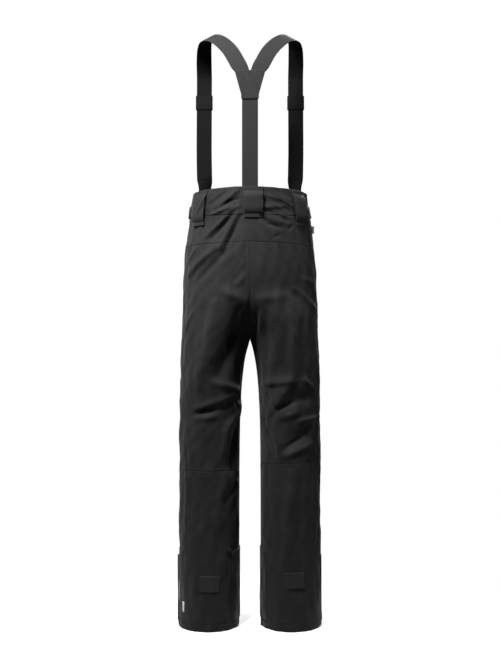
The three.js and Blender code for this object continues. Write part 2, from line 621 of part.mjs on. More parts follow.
function adjuster(side, name) {
  const frame = frontFrame(side, 1, ADJUSTER.z);
  const { wall, play, height } = ADJUSTER;
  const at = frame.at.clone().addScaledVector(frame.out, -DOUBLED.gap / 2);
  const inner = [WEBBING.width + 2 * play, DOUBLED.gap + WEBBING.cloth + 2 * play];
  const outer = inner.map((size) => size + 2 * wall);
  const box = hollowBox({ ...frame, at }, outer, inner, height, ["across", "out", "along"]);
  add(`${name}_strap_adjuster`, box, cloths.plastic);
}

// ---- Assembly ------------------------------------------------------------------------------

waist();
beltLoop("centre_back_belt_loop", 1, -1, CENTRE_LOOP.bottom, CENTRE_LOOP.shift);
zips();
closure();
tags();
backStraps();
for (const [side, name] of SIDES) {
  leg(side, name);
  gaiter(side, name);
  scuffGuard(side, name);
  trims(side, name);
  sideTab(side, name);
  frontStraps(side, name);
  ringAndTab(side, name);
  adjuster(side, name);
}

export default root;
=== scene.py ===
"""Insulated ski pants with elastic braces, filled out as when worn.

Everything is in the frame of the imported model: +Z up, the wearer's back towards -Y and the
wearer's right leg on +X. Sizes are in millimetres until a mesh is made, and in metres from there.
"""
from __future__ import annotations

import logging
import math
from dataclasses import dataclass, field
from enum import Enum
from functools import cached_property
from typing import Callable, Sequence

import bpy
import numpy as np
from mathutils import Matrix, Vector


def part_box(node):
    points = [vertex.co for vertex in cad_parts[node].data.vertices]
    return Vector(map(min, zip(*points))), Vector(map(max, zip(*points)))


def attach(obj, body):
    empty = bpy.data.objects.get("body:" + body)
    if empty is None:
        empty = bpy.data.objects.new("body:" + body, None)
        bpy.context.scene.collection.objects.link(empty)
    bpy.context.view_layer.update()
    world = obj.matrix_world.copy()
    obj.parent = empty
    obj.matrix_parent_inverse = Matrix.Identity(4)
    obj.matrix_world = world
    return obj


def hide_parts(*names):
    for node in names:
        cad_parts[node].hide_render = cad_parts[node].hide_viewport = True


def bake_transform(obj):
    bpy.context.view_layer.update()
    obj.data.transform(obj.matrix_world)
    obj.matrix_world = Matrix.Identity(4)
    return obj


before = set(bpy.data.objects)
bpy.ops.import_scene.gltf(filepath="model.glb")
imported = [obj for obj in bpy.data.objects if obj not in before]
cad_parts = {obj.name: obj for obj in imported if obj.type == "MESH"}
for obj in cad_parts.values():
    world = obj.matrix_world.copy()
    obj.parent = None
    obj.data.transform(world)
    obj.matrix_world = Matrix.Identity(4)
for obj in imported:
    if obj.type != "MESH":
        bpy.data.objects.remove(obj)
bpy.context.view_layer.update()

Array = np.ndarray
log = logging.getLogger("ski_pants")
MM = 0.001


class Side(Enum):
    """A leg, by the sign of its X."""

    RIGHT = 1
    LEFT = -1

    @property
    def word(self) -> str:
        """The side's name as the frame's nodes have it."""
        return self.name.lower()


class Body(Enum):
    """The moving bodies that pieces ride on."""

    PANTS = "pants"
    LOWER_LEG = "lower_leg"


# ---- Finishes -------------------------------------------------------------------------------


class Sig:
    """A shader socket with arithmetic: each operator adds a Math node."""

    def __init__(self, shop: "Shop", socket: bpy.types.NodeSocket) -> None:
        """Wraps one output socket of a material under construction."""
        self.shop = shop
        self.socket = socket

    def _op(self, operation: str, *values: object) -> "Sig":
        """Adds a Math node on the values and returns its result."""
        node = self.shop.node("ShaderNodeMath", {"operation": operation}, dict(enumerate(values)))
        return Sig(self.shop, node.outputs[0])

    def __add__(self, other: object) -> "Sig":
        """self + other."""
        return self._op("ADD", self, other)

    def __sub__(self, other: object) -> "Sig":
        """self - other."""
        return self._op("SUBTRACT", self, other)

    def __rsub__(self, other: object) -> "Sig":
        """other - self."""
        return self._op("SUBTRACT", other, self)

    def __mul__(self, other: object) -> "Sig":
        """self * other."""
        return self._op("MULTIPLY", self, other)

    __radd__ = __add__
    __rmul__ = __mul__

    def sine(self) -> "Sig":
        """The sine of the value, in radians."""
        return self._op("SINE", self)

    def absolute(self) -> "Sig":
        """The value without its sign."""
        return self._op("ABSOLUTE", self)

    def clamped(self, low: float, high: float, new_low: float, new_high: float) -> "Sig":
        """The value mapped from one range to another, and held inside it.

        Args:
            low: start of the range it comes from.
            high: its end.
            new_low: what the start becomes.
            new_high: what the end becomes.

        Returns:
            The mapped value.
        """
        settings = {"clamp": True}
        inputs = {0: self, 1: low, 2: high, 3: new_low, 4: new_high}
        return Sig(self.shop, self.shop.node("ShaderNodeMapRange", settings, inputs).outputs[0])


class Shop:
    """Builds one material's node tree."""

    def __init__(self, name: str) -> None:
        """Starts an empty tree with a Principled shader on its output.

        Args:
            name: the material's name.
        """
        self.material = bpy.data.materials.new(name)
        self.material.use_nodes = True
        self.tree = self.material.node_tree
        self.tree.nodes.clear()
        self.shader = self.node("ShaderNodeBsdfPrincipled")
        self.node("ShaderNodeOutputMaterial", inputs={"Surface": self.shader.outputs[0]})

    def node(
        self, kind: str, settings: dict[str, object] | None = None, inputs: dict | None = None
    ) -> bpy.types.Node:
        """Adds a node.

        Args:
            kind: the node's type.
            settings: its properties, set first.
            inputs: socket names or numbers, with a value, a socket or a Sig for each.

        Returns:
            The node.
        """
        made = self.tree.nodes.new(kind)
        for key, value in (settings or {}).items():
            setattr(made, key, value)
        for key, value in (inputs or {}).items():
            source = value.socket if isinstance(value, Sig) else value
            if isinstance(source, bpy.types.NodeSocket):
                self.tree.links.new(source, made.inputs[key])
            else:
                made.inputs[key].default_value = source
        return made

    def link(self, source: Sig | bpy.types.NodeSocket, socket: str) -> None:
        """Feeds a value to one of the Principled shader's sockets."""
        origin = source.socket if isinstance(source, Sig) else source
        self.tree.links.new(origin, self.shader.inputs[socket])

    def uv(self) -> tuple[Sig, Sig]:
        """The piece's own map: across the cloth and along it, in metres.

        Returns:
            The two distances.
        """
        place = self.node("ShaderNodeTexCoord")
        parts = self.node("ShaderNodeSeparateXYZ", inputs={0: place.outputs["UV"]})
        return Sig(self, parts.outputs[0]), Sig(self, parts.outputs[1])

    def noise(self, size: float, detail: float = 2.0, stretch: tuple = (1, 1, 1)) -> Sig:
        """Even noise over Object coordinates.

        Args:
            size: the usual length of its blotches, in metres.
            detail: how many finer layers it has.
            stretch: how much it is squeezed along each axis.

        Returns:
            The noise, about 0 to 1.
        """
        place = self.node("ShaderNodeTexCoord")
        scaled = self.node(
            "ShaderNodeVectorMath", {"operation": "MULTIPLY"}, {0: place.outputs["Object"], 1: stretch}
        )
        inputs = {"Vector": scaled.outputs[0], "Scale": 1 / size, "Detail": detail}
        return Sig(self, self.node("ShaderNodeTexNoise", inputs=inputs).outputs[0])

    def tint(self, share: Sig, dark: Sequence[float], light: Sequence[float]) -> None:
        """Base colour between two colours, by a share from 0 to 1.

        Args:
            share: 0 gives dark and 1 gives light.
            dark: one colour.
            light: the other.
        """
        mix = self.node("ShaderNodeMix", {"data_type": "RGBA"}, {"Factor": share})
        mix.inputs[6].default_value = (*dark, 1)
        mix.inputs[7].default_value = (*light, 1)
        self.link(mix.outputs[2], "Base Color")

    def bump(self, height: Sig, distance: float, strength: float = 1.0) -> None:
        """Relief too fine for the mesh. distance is its height in metres."""
        inputs = {"Height": height, "Distance": distance, "Strength": strength}
        self.link(self.node("ShaderNodeBump", inputs=inputs).outputs[0], "Normal")

    def constants(self, **values: object) -> None:
        """Sets even values on the shader's own sockets; spaces in names are underscores."""
        for key, value in values.items():
            self.shader.inputs[key.replace("_", " ")].default_value = value


@dataclass(frozen=True)
class TwillCloth:
    """Matte woven cloth: fine diagonal ribs, faint slubs and blotches, a little sheen."""

    name: str
    dark: tuple[float, float, float]
    light: tuple[float, float, float]
    pitch: float = 0.0011
    ribs: float = 0.00008
    roughness: float = 0.7
    sheen: float = 0.05
    specular: float = 0.12

    def material(self) -> bpy.types.Material:
        """Ribs are the sine of across plus along; colour follows blotches, slubs and ribs.

        Returns:
            The material.
        """
        shop = Shop(self.name)
        across, along = shop.uv()
        turn = 2 * math.pi / self.pitch
        twill = (across * turn + along * turn).sine()
        thread = (along * turn * 2.0).sine() * (across * turn * 2.0).sine()
        blotch = shop.noise(0.055, 3.0)
        slub = shop.noise(0.004, 2.0, (1.0, 1.0, 0.25))
        tone = blotch * 0.6 + slub * 0.5 + twill * 0.08 - 0.06
        shop.tint(tone.clamped(0.2, 0.85, 0.0, 1.0), self.dark, self.light)
        shop.link(blotch.clamped(0.3, 0.7, self.roughness - 0.06, self.roughness + 0.08), "Roughness")
        shop.bump(twill * 0.5 + thread * 0.25 + slub * 1.6, self.ribs)
        shop.constants(Sheen_Weight=self.sheen, Sheen_Roughness=0.5, Specular_IOR_Level=self.specular)
        return shop.material


@dataclass(frozen=True)
class RibbedWebbing:
    """Elastic webbing: ribs along its length, crossed by a fine weft, with fuzz."""

    name: str
    dark: tuple[float, float, float]
    light: tuple[float, float, float]
    rib: float = 0.0021
    weft: float = 0.0013
    depth: float = 0.00022
    roughness: float = 0.78
    sheen: float = 0.06
    specular: float = 0.15

    def material(self) -> bpy.types.Material:
        """Ribs are the absolute sine of the place across, the weft the sine of the place along.

        Returns:
            The material.
        """
        shop = Shop(self.name)
        across, along = shop.uv()
        ribs = (across * (math.pi / self.rib)).sine().absolute()
        weft = (along * (2 * math.pi / self.weft) + ribs * 1.2).sine()
        fuzz = shop.noise(0.003, 3.0)
        shop.tint((ribs * 0.5 + weft * 0.15 + fuzz * 0.5).clamped(0.1, 1.0, 0.0, 1.0), self.dark, self.light)
        shop.link(fuzz.clamped(0.3, 0.7, self.roughness - 0.05, self.roughness + 0.07), "Roughness")
        shop.bump(ribs * 0.8 + weft * 0.3 + fuzz * 0.3, self.depth)
        shop.constants(Sheen_Weight=self.sheen, Sheen_Roughness=0.5, Specular_IOR_Level=self.specular)
        return shop.material


@dataclass(frozen=True)
class Hardware:
    """Moulded plastic or coated metal: faint grain, rubbed a little lighter in blotches."""

    name: str
    dark: tuple[float, float, float]
    light: tuple[float, float, float]
    roughness: float
    metallic: float = 0.0
    grain: float = 0.00004
    specular: float = 0.3

    def material(self) -> bpy.types.Material:
        """Colour and roughness follow two noises; the grain is a third.

        Returns:
            The material.
        """
        shop = Shop(self.name)
        wear = shop.noise(0.012, 4.0)
        shop.tint(wear.clamped(0.35, 0.75, 0.0, 1.0), self.dark, self.light)
        shop.link(wear.clamped(0.3, 0.7, self.roughness - 0.07, self.roughness + 0.1), "Roughness")
        shop.bump(shop.noise(0.0006, 2.0), self.grain)
        shop.constants(Metallic=self.metallic, Specular_IOR_Level=self.specular)
        return shop.material


class Finishes:
    """Every material, made once."""

    def __init__(self) -> None:
        """Makes the materials."""
        self.shell = TwillCloth("shell_twill", (0.0075, 0.0076, 0.0080), (0.0150, 0.0152, 0.0158)).material()
        self.lining = TwillCloth(
            "lining_taffeta", (0.007, 0.007, 0.0075), (0.014, 0.014, 0.015), 0.0006, 0.00003, 0.5, 0.03, 0.25
        ).material()
        self.guard = TwillCloth(
            "guard_cloth", (0.006, 0.006, 0.0062), (0.014, 0.014, 0.0145), 0.0016, 0.00016, 0.58, 0.04, 0.18
        ).material()
        self.knit = TwillCloth(
            "gaiter_cloth", (0.009, 0.009, 0.0095), (0.018, 0.018, 0.019), 0.0009, 0.00008, 0.66
        ).material()
        self.webbing = RibbedWebbing("brace_webbing", (0.006, 0.006, 0.0064), (0.0155, 0.0155, 0.0162)).material()
        # A darker, less shiny copy of the brace webbing: painted shade for the straps' back face, which is the face
        # seen from behind on the front straps.
        self.webbing_painted_shade = RibbedWebbing(
            "brace_webbing_painted_shade", (0.0025, 0.0025, 0.0027), (0.006, 0.006, 0.0064), sheen=0.01, specular=0.03
        ).material()
        self.patch = TwillCloth(
            "patch_cloth", (0.008, 0.008, 0.0085), (0.019, 0.019, 0.0198), 0.0014, 0.00012, 0.72
        ).material()
        self.tape = RibbedWebbing(
            "zip_tape", (0.009, 0.009, 0.010), (0.020, 0.020, 0.021), 0.0012, 0.0007, 0.00008, 0.7
        ).material()
        self.thread = TwillCloth(
            "thread", (0.012, 0.012, 0.0125), (0.024, 0.024, 0.025), 0.0005, 0.00004, 0.6, 0.1
        ).material()
        self.teeth = Hardware("zip_teeth", (0.006, 0.006, 0.0065), (0.013, 0.013, 0.0135), 0.45).material()
        self.plastic = Hardware(
            "moulded_nylon", (0.0012, 0.0012, 0.0013), (0.0034, 0.0034, 0.0037), 0.65, specular=0.05
        ).material()
        self.metal = Hardware(
            "coated_metal", (0.030, 0.030, 0.032), (0.075, 0.075, 0.078), 0.36, 0.85
        ).material()
        self.label = TwillCloth(
            "label_cloth", (0.62, 0.62, 0.61), (0.78, 0.78, 0.77), 0.0007, 0.00004, 0.6, 0.05
        ).material()


# ---- The garment's surface ------------------------------------------------------------------


def smooth(t: Array | float) -> Array:
    """The smoothstep of t, held between 0 and 1: 3t² - 2t³."""
    t = np.clip(t, 0.0, 1.0)
    return t * t * (3 - 2 * t)


def along(stations: Sequence[tuple[float, float]], z: Array) -> Array:
    """A smooth value through stations that run downwards.

    Cubic Hermite spans, whose slope at a station is that of the line between its neighbours.

    Args:
        stations: (height, value) pairs, highest first.
        z: heights.

    Returns:
        The value at each height.
    """
    height, value = np.array(stations, float).T
    last = len(height) - 1
    k = np.arange(last + 1)
    low, high = np.maximum(k - 1, 0), np.minimum(k + 1, last)
    slope = (value[high] - value[low]) / (height[high] - height[low])
    i = np.clip(np.searchsorted(-height, -np.asarray(z, float), side="right") - 1, 0, last - 1)
    span = height[i + 1] - height[i]
    t = np.clip((z - height[i]) / span, 0, 1)
    bend = span * t * (1 - t) * (slope[i] * (1 - t) - slope[i + 1] * t)
    return value[i] + (value[i + 1] - value[i]) * smooth(t) + bend


@dataclass(frozen=True)
class Fold:
    """A soft ridge or valley between two places.

    Places are a distance across the body from the middle plane, positive on the wearer's right,
    and a height. A negative height of relief is a valley. front puts it on the wearer's front. Seen
    from outside and going from start to end, right is its width on the right hand, if that differs.
    """

    start: tuple[float, float]
    end: tuple[float, float]
    width: float
    relief: float
    front: bool = False
    right: float = 0.0


@dataclass(frozen=True)
class Pattern:
    """The garment's outer surface, in millimetres."""

    hem: float = -1052.0
    crotch: float = -355.0
    crotch_rise: float = 170.0
    knee_top: float = -470.0
    knee_seam: float = -670.0
    back_rise: float = 6.0
    front_drop: float = 14.0
    band_foot: float = -62.0
    yoke: float = -125.0
    yoke_dip: float = 8.0
    hem_band: float = 18.0
    waist_width: float = 276.0
    hip_width: float = 334.0
    leg_width: float = 148.0
    leg_gap: float = 26.0
    gap_run: float = 78.0
    waist_depth: float = 110.0
    seat_depth: float = 124.0
    leg_depth: float = 87.0
    seam: float = 0.36
    cloth: float = 3.5
    folds: tuple[Fold, ...] = ()
    fold_strength: float = 1.45
    fold_width: float = 0.95

    def _half(self, share: float) -> float:
        """Half width between the waist's, at 0, and the hip's, at 1."""
        return (self.waist_width + (self.hip_width - self.waist_width) * share) / 2

    @property
    def half_width(self) -> list[tuple[float, float]]:
        """Half width at the outseams, by height.

        Returns:
            (height, half width) pairs, highest first.
        """
        foot = self.leg_gap + self.leg_width
        return [
            (20, self._half(-0.07)), (0, self._half(0)), (-45, self._half(0.25)), (-110, self._half(0.52)),
            (-180, self._half(0.75)), (self.crotch, self._half(1)), (self.knee_top, (self._half(1) + foot) / 2),
            (self.knee_seam, foot - 2), (self.hem - 10, foot),
        ]

    @property
    def depth_back(self) -> list[tuple[float, float]]:
        """Depth behind the middle, by height.

        Returns:
            (height, depth) pairs, highest first.
        """
        seat, leg, waist = self.seat_depth, self.leg_depth, self.waist_depth
        return [
            (20, waist - 2), (0, waist), (-60, waist + 4), (-190, seat),
            (self.crotch, seat + (leg - seat) * 0.42), ((self.knee_top + self.knee_seam) / 2, leg + 1),
            (self.knee_seam - 90, leg - 1), (self.hem - 10, leg + 1),
        ]

    @property
    def depth_front(self) -> list[tuple[float, float]]:
        """Depth in front of the middle, by height.

        Returns:
            (height, depth) pairs, highest first.
        """
        leg, waist = self.leg_depth, self.waist_depth
        return [
            (20, waist), (0, waist + 1), (-60, waist + 3), (-190, waist + 5),
            (self.crotch, waist + (leg - waist) * 0.2), ((self.knee_top + self.knee_seam) / 2, leg + 5),
            (self.knee_seam - 90, leg - 1), (self.hem - 10, leg + 1),
        ]

    def section(self, z: Array) -> tuple[Array, Array, Array]:
        """One leg's section: its centre, its half width and the angle where it ends inside.

        Below the crotch it is a whole ellipse; above, it is cut off at the middle plane, and the cut
        grows with the smoothstep of the height until the two sections are one.

        Args:
            z: heights.

        Returns:
            The three, for each height.
        """
        outer = along(self.half_width, z)
        down = self.crotch - z
        gap = self.leg_gap * (1 - np.exp(-np.maximum(down, 0) / self.gap_run))
        s = np.clip(-down / self.crotch_rise, 0, 1)
        start = self.leg_gap / self.gap_run * self.crotch_rise / outer
        overlap = -outer * (start * s * (1 - s) ** 2 + s * s * (3 - 2 * s))
        inner = np.where(down >= 0, gap, overlap)
        centre, radius = (outer + inner) / 2, (outer - inner) / 2
        return centre, radius, np.arccos(np.clip(-centre / radius, -1, 1))

    def skin(self, side: Array, u: Array, z: Array) -> Array:
        """The smooth surface.

        A point goes round the section by u times its end angle: -1 is the centre back seam or
        inseam, 0 the outseam and 1 the centre front seam or inseam.

        Args:
            side: 1 or -1.
            u: place round the section.
            z: height.

        Returns:
            Points.
        """
        centre, radius, turn = self.section(z)
        angle = u * turn
        depth = np.where(angle < 0, along(self.depth_back, z), along(self.depth_front, z))
        x = side * (self.seam / 2 + centre + radius * np.cos(angle))
        return stacked(x, depth * np.sin(angle), z)

    def level(self, side: Array, u: Array, z: Array) -> tuple[Array, Array, Array]:
        """Round the body towards rising u, the length per u, and outwards, all level.

        Args:
            side: 1 or -1.
            u: place round the body.
            z: height.

        Returns:
            The two directions, at length one, with the length per u between them.
        """
        step = 0.002
        way = self.skin(side, u + step, z) - self.skin(side, u - step, z)
        size = np.linalg.norm(way, axis=-1)
        way = way / size[..., None]
        side = np.broadcast_to(side, size.shape)
        out = np.stack([side * way[..., 1], -side * way[..., 0], np.zeros_like(size)], -1)
        return way, size / (2 * step), out

    def per_u(self, u: float, z: float) -> float:
        """The length per u at one place."""
        return float(self.level(np.array(1.0), np.array(u), np.array(z))[1])

    def unroll(self, side: Array, u: Array, z: Array) -> Array:
        """Distance round the body from the outseam, negative at the back: a sum of 16 chords.

        Args:
            side: 1 or -1.
            u: place round the body.
            z: height.

        Returns:
            The distances.
        """
        share = np.linspace(0, 1, 17)
        side, u, z = np.broadcast_arrays(side, u, z)
        points = self.skin(side[..., None], u[..., None] * share, z[..., None])
        chords = np.linalg.norm(np.diff(points, axis=-2), axis=-1).sum(-1)
        return np.sign(u) * chords

    def place(self, x: float, z: float, front: bool) -> tuple[float, float]:
        """u and the unrolled distance of a place given by its distance from the middle plane.

        Args:
            x: distance from the middle plane.
            z: height.
            front: whether it is on the wearer's front.

        Returns:
            u and the distance.
        """
        centre, radius, turn = (float(v) for v in self.section(np.array(z)))
        angle = math.acos(max(-1.0, min(1.0, (abs(x) - centre) / radius)))
        u = min(angle / turn, 1.0) * (1 if front else -1)
        return u, float(self.unroll(np.array(1.0), np.array(u), np.array(z)))

    @cached_property
    def creases(self) -> list[tuple[Fold, float, float]]:
        """Each fold with the unrolled distances of its two ends."""
        return [(f, *(self.place(x, z, f.front)[1] for x, z in (f.start, f.end))) for f in self.folds]

    def relief(self, side: Array, u: Array, z: Array, fine: bool = True) -> Array:
        """How far folds, gathers and unevenness move the surface outwards.

        Each fold is a Gaussian of the distance to its line on the unrolled cloth. Small random
        ripples and the waistband's gathers are added, and all of it dies out at the centre seams. The
        centre back seam is drawn in above the crotch.

        Args:
            side: 1 or -1.
            u: place round the body.
            z: height.
            fine: whether the ripples and gathers count.

        Returns:
            The relief at each place.
        """
        side, u, z = np.broadcast_arrays(side, u, z)
        a = self.unroll(side, u, z)
        total = np.zeros(a.shape)
        for fold, first, last in self.creases:
            x = fold.start[0] + fold.end[0]
            da, dz = last - first, fold.end[1] - fold.start[1]
            t = np.clip(((a - first) * da + (z - fold.start[1]) * dz) / (da * da + dz * dz), 0, 1)
            gap = np.hypot(a - first - t * da, z - fold.start[1] - t * dz)
            taper = 0.55 + 0.45 * np.sin(np.pi * t)
            hand = np.sign(x) * (-1 if fold.front else 1) * (da * (z - fold.start[1]) - dz * (a - first))
            width = np.where(hand > 0, fold.width, fold.right or fold.width) * self.fold_width
            bell = np.exp(-((gap / width) ** 2))
            total += np.where(side * x > 0, fold.relief * self.fold_strength * taper * bell, 0)
        edge = smooth((1 - np.abs(u)) / 0.07)
        near = np.exp(-(((1 - np.abs(u)) * 150 / 9) ** 2) - ((z + 312) / 30) ** 2)
        total = total * edge - np.where(u < 0, 7.0 * near, 0)
        if not fine:
            return total
        total += ripples(a + 700 * (side > 0), z, 11, 60.0, 150.0, 0.9) * edge
        total += ripples(a + 700 * (side > 0), z, 12, 24.0, 55.0, 0.35) * edge
        gathers = np.sin(a / 2.1 + 1.6 * np.sin(a / 13.0) + 1.5 * np.sin(z / 14.0 + a / 31.0)) * smooth(-u / 0.2)
        inside_band = smooth((z - self.band_foot + 22) / 22) * smooth((12 - z) / 14)
        return total + 0.6 * gathers * inside_band * edge

    def point(self, side: Array, u: Array, z: Array, off: Array = 0.0, fine: bool = True) -> Array:
        """A point off the finished surface, folds and all.

        Args:
            side: 1 or -1.
            u: place round the body.
            z: height.
            off: distance outwards from the surface.
            fine: whether ripples and gathers count.

        Returns:
            Points.
        """
        side, u, z = np.broadcast_arrays(np.asarray(side, float), u, z)
        out = self.level(side, u, z)[2]
        return self.skin(side, u, z) + out * (self.relief(side, u, z, fine) + off)[..., None]

    def beside(self, side: Array, u: Array, across: Array, z: Array, off: Array = 0.0) -> Array:
        """A point at a distance round the body from u, over the folds but not their fine part.

        Args:
            side: 1 or -1.
            u: place round the body.
            across: distance from there, round the body.
            z: height.
            off: distance outwards from the surface.

        Returns:
            Points.
        """
        side, u, across, z = np.broadcast_arrays(np.asarray(side, float), u, across, z)
        return self.point(side, u + across / self.level(side, u, z)[1], z, off, False)

    def waist_top(self, u: Array) -> Array:
        """Height of the waistband's top edge: it rises to the back and drops to the front."""
        share = np.sin(u * np.pi / 2) ** 2
        return np.where(u < 0, self.back_rise, -self.front_drop) * share

    def yoke_seam(self, u: Array) -> Array:
        """Height of the yoke seam, lower at the outseams."""
        return self.yoke - self.yoke_dip * (1 - np.abs(u))


def ripples(a: Array, z: Array, seed: int, wide: float, tall: float, size: float) -> Array:
    """Smooth unevenness: the sum of ten plane sine waves with seeded directions and phases.

    Args:
        a: distance round the body.
        z: height.
        seed: picks the waves.
        wide: usual length of a wave round the body.
        tall: usual length of a wave up and down.
        size: usual height of the sum.

    Returns:
        The height at each place.
    """
    rng = np.random.default_rng(seed)
    total = np.zeros(np.shape(a))
    for _ in range(10):
        ka, kz = rng.normal(0, 2 * np.pi / wide), rng.normal(0, 2 * np.pi / tall)
        total = total + np.sin(ka * a + kz * z + rng.uniform(0, 2 * np.pi))
    return total * size / math.sqrt(5)


# ---- Meshes ---------------------------------------------------------------------------------


@dataclass
class Solid:
    """Vertices, faces, a map and a material number per face, before they become an object."""

    points: Array
    faces: list[Array] = field(default_factory=list)
    uv: Array | None = None
    slots: list[int] = field(default_factory=list)


def grid_quads(rows: int, columns: int, first: int = 0, loop: bool = False) -> Array:
    """Quads over a grid of points numbered row by row, with the last column joined to the first.

    Args:
        rows: rows of points.
        columns: points in a row.
        first: number of the first point.
        loop: whether that join is made.

    Returns:
        (n, 4) point numbers.
    """
    i, k = np.meshgrid(np.arange(rows - 1), np.arange(columns if loop else columns - 1), indexing="ij")
    m = (k + 1) % columns
    corners = np.stack([i * columns + k, i * columns + m, (i + 1) * columns + m, (i + 1) * columns + k], -1)
    return corners.reshape(-1, 4) + first


def cloth_solid(outer: Array, inner: Array, uv: Array, loop: bool = False) -> Solid:
    """Cloth with a thickness: an outer and an inner grid, joined along their open edges.

    Args:
        outer: (rows, columns, 3) points of the outer face.
        inner: the same for the inner face.
        uv: (rows, columns, 2) place on the cloth.
        loop: whether the last column is joined to the first.

    Returns:
        The solid; faces of the inner side have material number 1.
    """
    rows, columns = outer.shape[:2]
    count = rows * columns
    ids = np.arange(count).reshape(rows, columns)
    front = grid_quads(rows, columns, 0, loop)
    back = grid_quads(rows, columns, count, loop)[:, ::-1]
    edges = [ids[0], ids[-1, ::-1]]
    if loop:
        edges = [np.append(edge, edge[0]) for edge in edges]
    else:
        edges += [ids[::-1, 0], ids[:, -1]]
    rims = [np.stack([e[1:], e[:-1], e[:-1] + count, e[1:] + count], -1) for e in edges]
    faces = [front, back, *rims]
    slots = [0] * len(front) + [1] * len(back) + [0] * sum(len(r) for r in rims)
    points = np.concatenate([outer.reshape(-1, 3), inner.reshape(-1, 3)])
    return Solid(points, faces, np.concatenate([uv.reshape(-1, 2)] * 2), slots)


def loft_solid(rings: Array, uv: Array | None = None) -> Solid:
    """Rings of points joined in order, each end closed with one face.

    Args:
        rings: (count, corners, 3) points.
        uv: (count, corners, 2) map, or None for a map of ring and corner distances.

    Returns:
        The solid.
    """
    count, corners = rings.shape[:2]
    body = grid_quads(count, corners, 0, True)
    first, last = np.arange(corners)[::-1], np.arange(corners) + (count - 1) * corners
    if uv is None:
        run = running(rings.mean(1))
        step = np.linalg.norm(np.diff(rings, axis=1), axis=-1).mean(0)
        round_ = np.concatenate([[0], np.cumsum(step)])
        uv = stacked(round_[None, :], run[:, None])
    return Solid(rings.reshape(-1, 3), [body, first[None], last[None]], uv.reshape(-1, 2), [0] * (len(body) + 2))


def joined(solids: Sequence[Solid]) -> Solid:
    """Several solids as one.

    Args:
        solids: what to join.

    Returns:
        The one solid.
    """
    points, faces, uvs, slots, first = [], [], [], [], 0
    for solid in solids:
        points.append(solid.points)
        faces += [group + first for group in solid.faces]
        uvs.append(solid.uv if solid.uv is not None else np.zeros((len(solid.points), 2)))
        slots += solid.slots
        first += len(solid.points)
    return Solid(np.concatenate(points), faces, np.concatenate(uvs), slots)


def signed_volume(points: Array, faces: list[Array]) -> float:
    """Six times the volume: the sum of corner products over fans of each face.

    Args:
        points: (n, 3) vertices.
        faces: arrays of corner numbers.

    Returns:
        A positive number if the faces point outwards.
    """
    total = 0.0
    for group in faces:
        for k in range(1, group.shape[1] - 1):
            a, b, c = (points[group[:, i]] for i in (0, k, k + 1))
            total += float(np.einsum("ij,ij->", a, np.cross(b, c)))
    return total


def make_object(
    name: str, solid: Solid, materials: Sequence[bpy.types.Material], flat: bool = False
) -> bpy.types.Object:
    """Puts a solid into a mesh at the origin, faces outwards.

    Args:
        name: the piece's name.
        solid: its points in millimetres.
        materials: one per material number used.
        flat: whether faces are shaded flat.

    Returns:
        The object.
    """
    faces = solid.faces
    if signed_volume(solid.points, faces) < 0:
        faces = [group[:, ::-1] for group in faces]
    mesh = bpy.data.meshes.new(name)
    sizes = np.concatenate([np.full(len(group), group.shape[1]) for group in faces]).astype(np.int32)
    corners = np.concatenate([group.ravel() for group in faces]).astype(np.int32)
    mesh.vertices.add(len(solid.points))
    mesh.vertices.foreach_set("co", (solid.points * MM).astype(np.float32).ravel())
    mesh.loops.add(len(corners))
    mesh.loops.foreach_set("vertex_index", corners)
    mesh.polygons.add(len(sizes))
    mesh.polygons.foreach_set("loop_start", (np.cumsum(sizes) - sizes).astype(np.int32))
    mesh.polygons.foreach_set("material_index", np.minimum(solid.slots, len(materials) - 1).astype(np.int32))
    mesh.polygons.foreach_set("use_smooth", np.full(len(sizes), not flat))
    if solid.uv is not None:
        layer = mesh.uv_layers.new(name="cloth")
        layer.data.foreach_set("uv", (solid.uv[corners] * MM).astype(np.float32).ravel())
    mesh.update(calc_edges=True)
    for material in materials:
        mesh.materials.append(material)
    made = bpy.data.objects.new(name, mesh)
    bpy.context.scene.collection.objects.link(made)
    log.info("%s: %d vertices, %d faces", name, len(mesh.vertices), len(mesh.polygons))
    return made


def edge_steps(length: float, step: float) -> Array:
    """Distances from 0 to length, close together near both ends so that the edges can roll.

    Args:
        length: the whole distance.
        step: usual step in between.

    Returns:
        The distances.
    """
    margin = np.array([0.0, 0.35, 0.9, 1.8, 3.4])
    inner = np.linspace(3.4, length - 3.4, max(3, int(length / step)))
    return np.concatenate([margin, inner[1:-1], length - margin[::-1]])


def edge_roll(distance: Array, radius: float) -> Array:
    """How deep a rolled edge dips at a distance from it: a quarter circle."""
    near = np.clip(1 - distance / radius, 0, 1)
    return radius * (1 - np.sqrt(1 - near**2))


# ---- Folds of the worn cloth ----------------------------------------------------------------

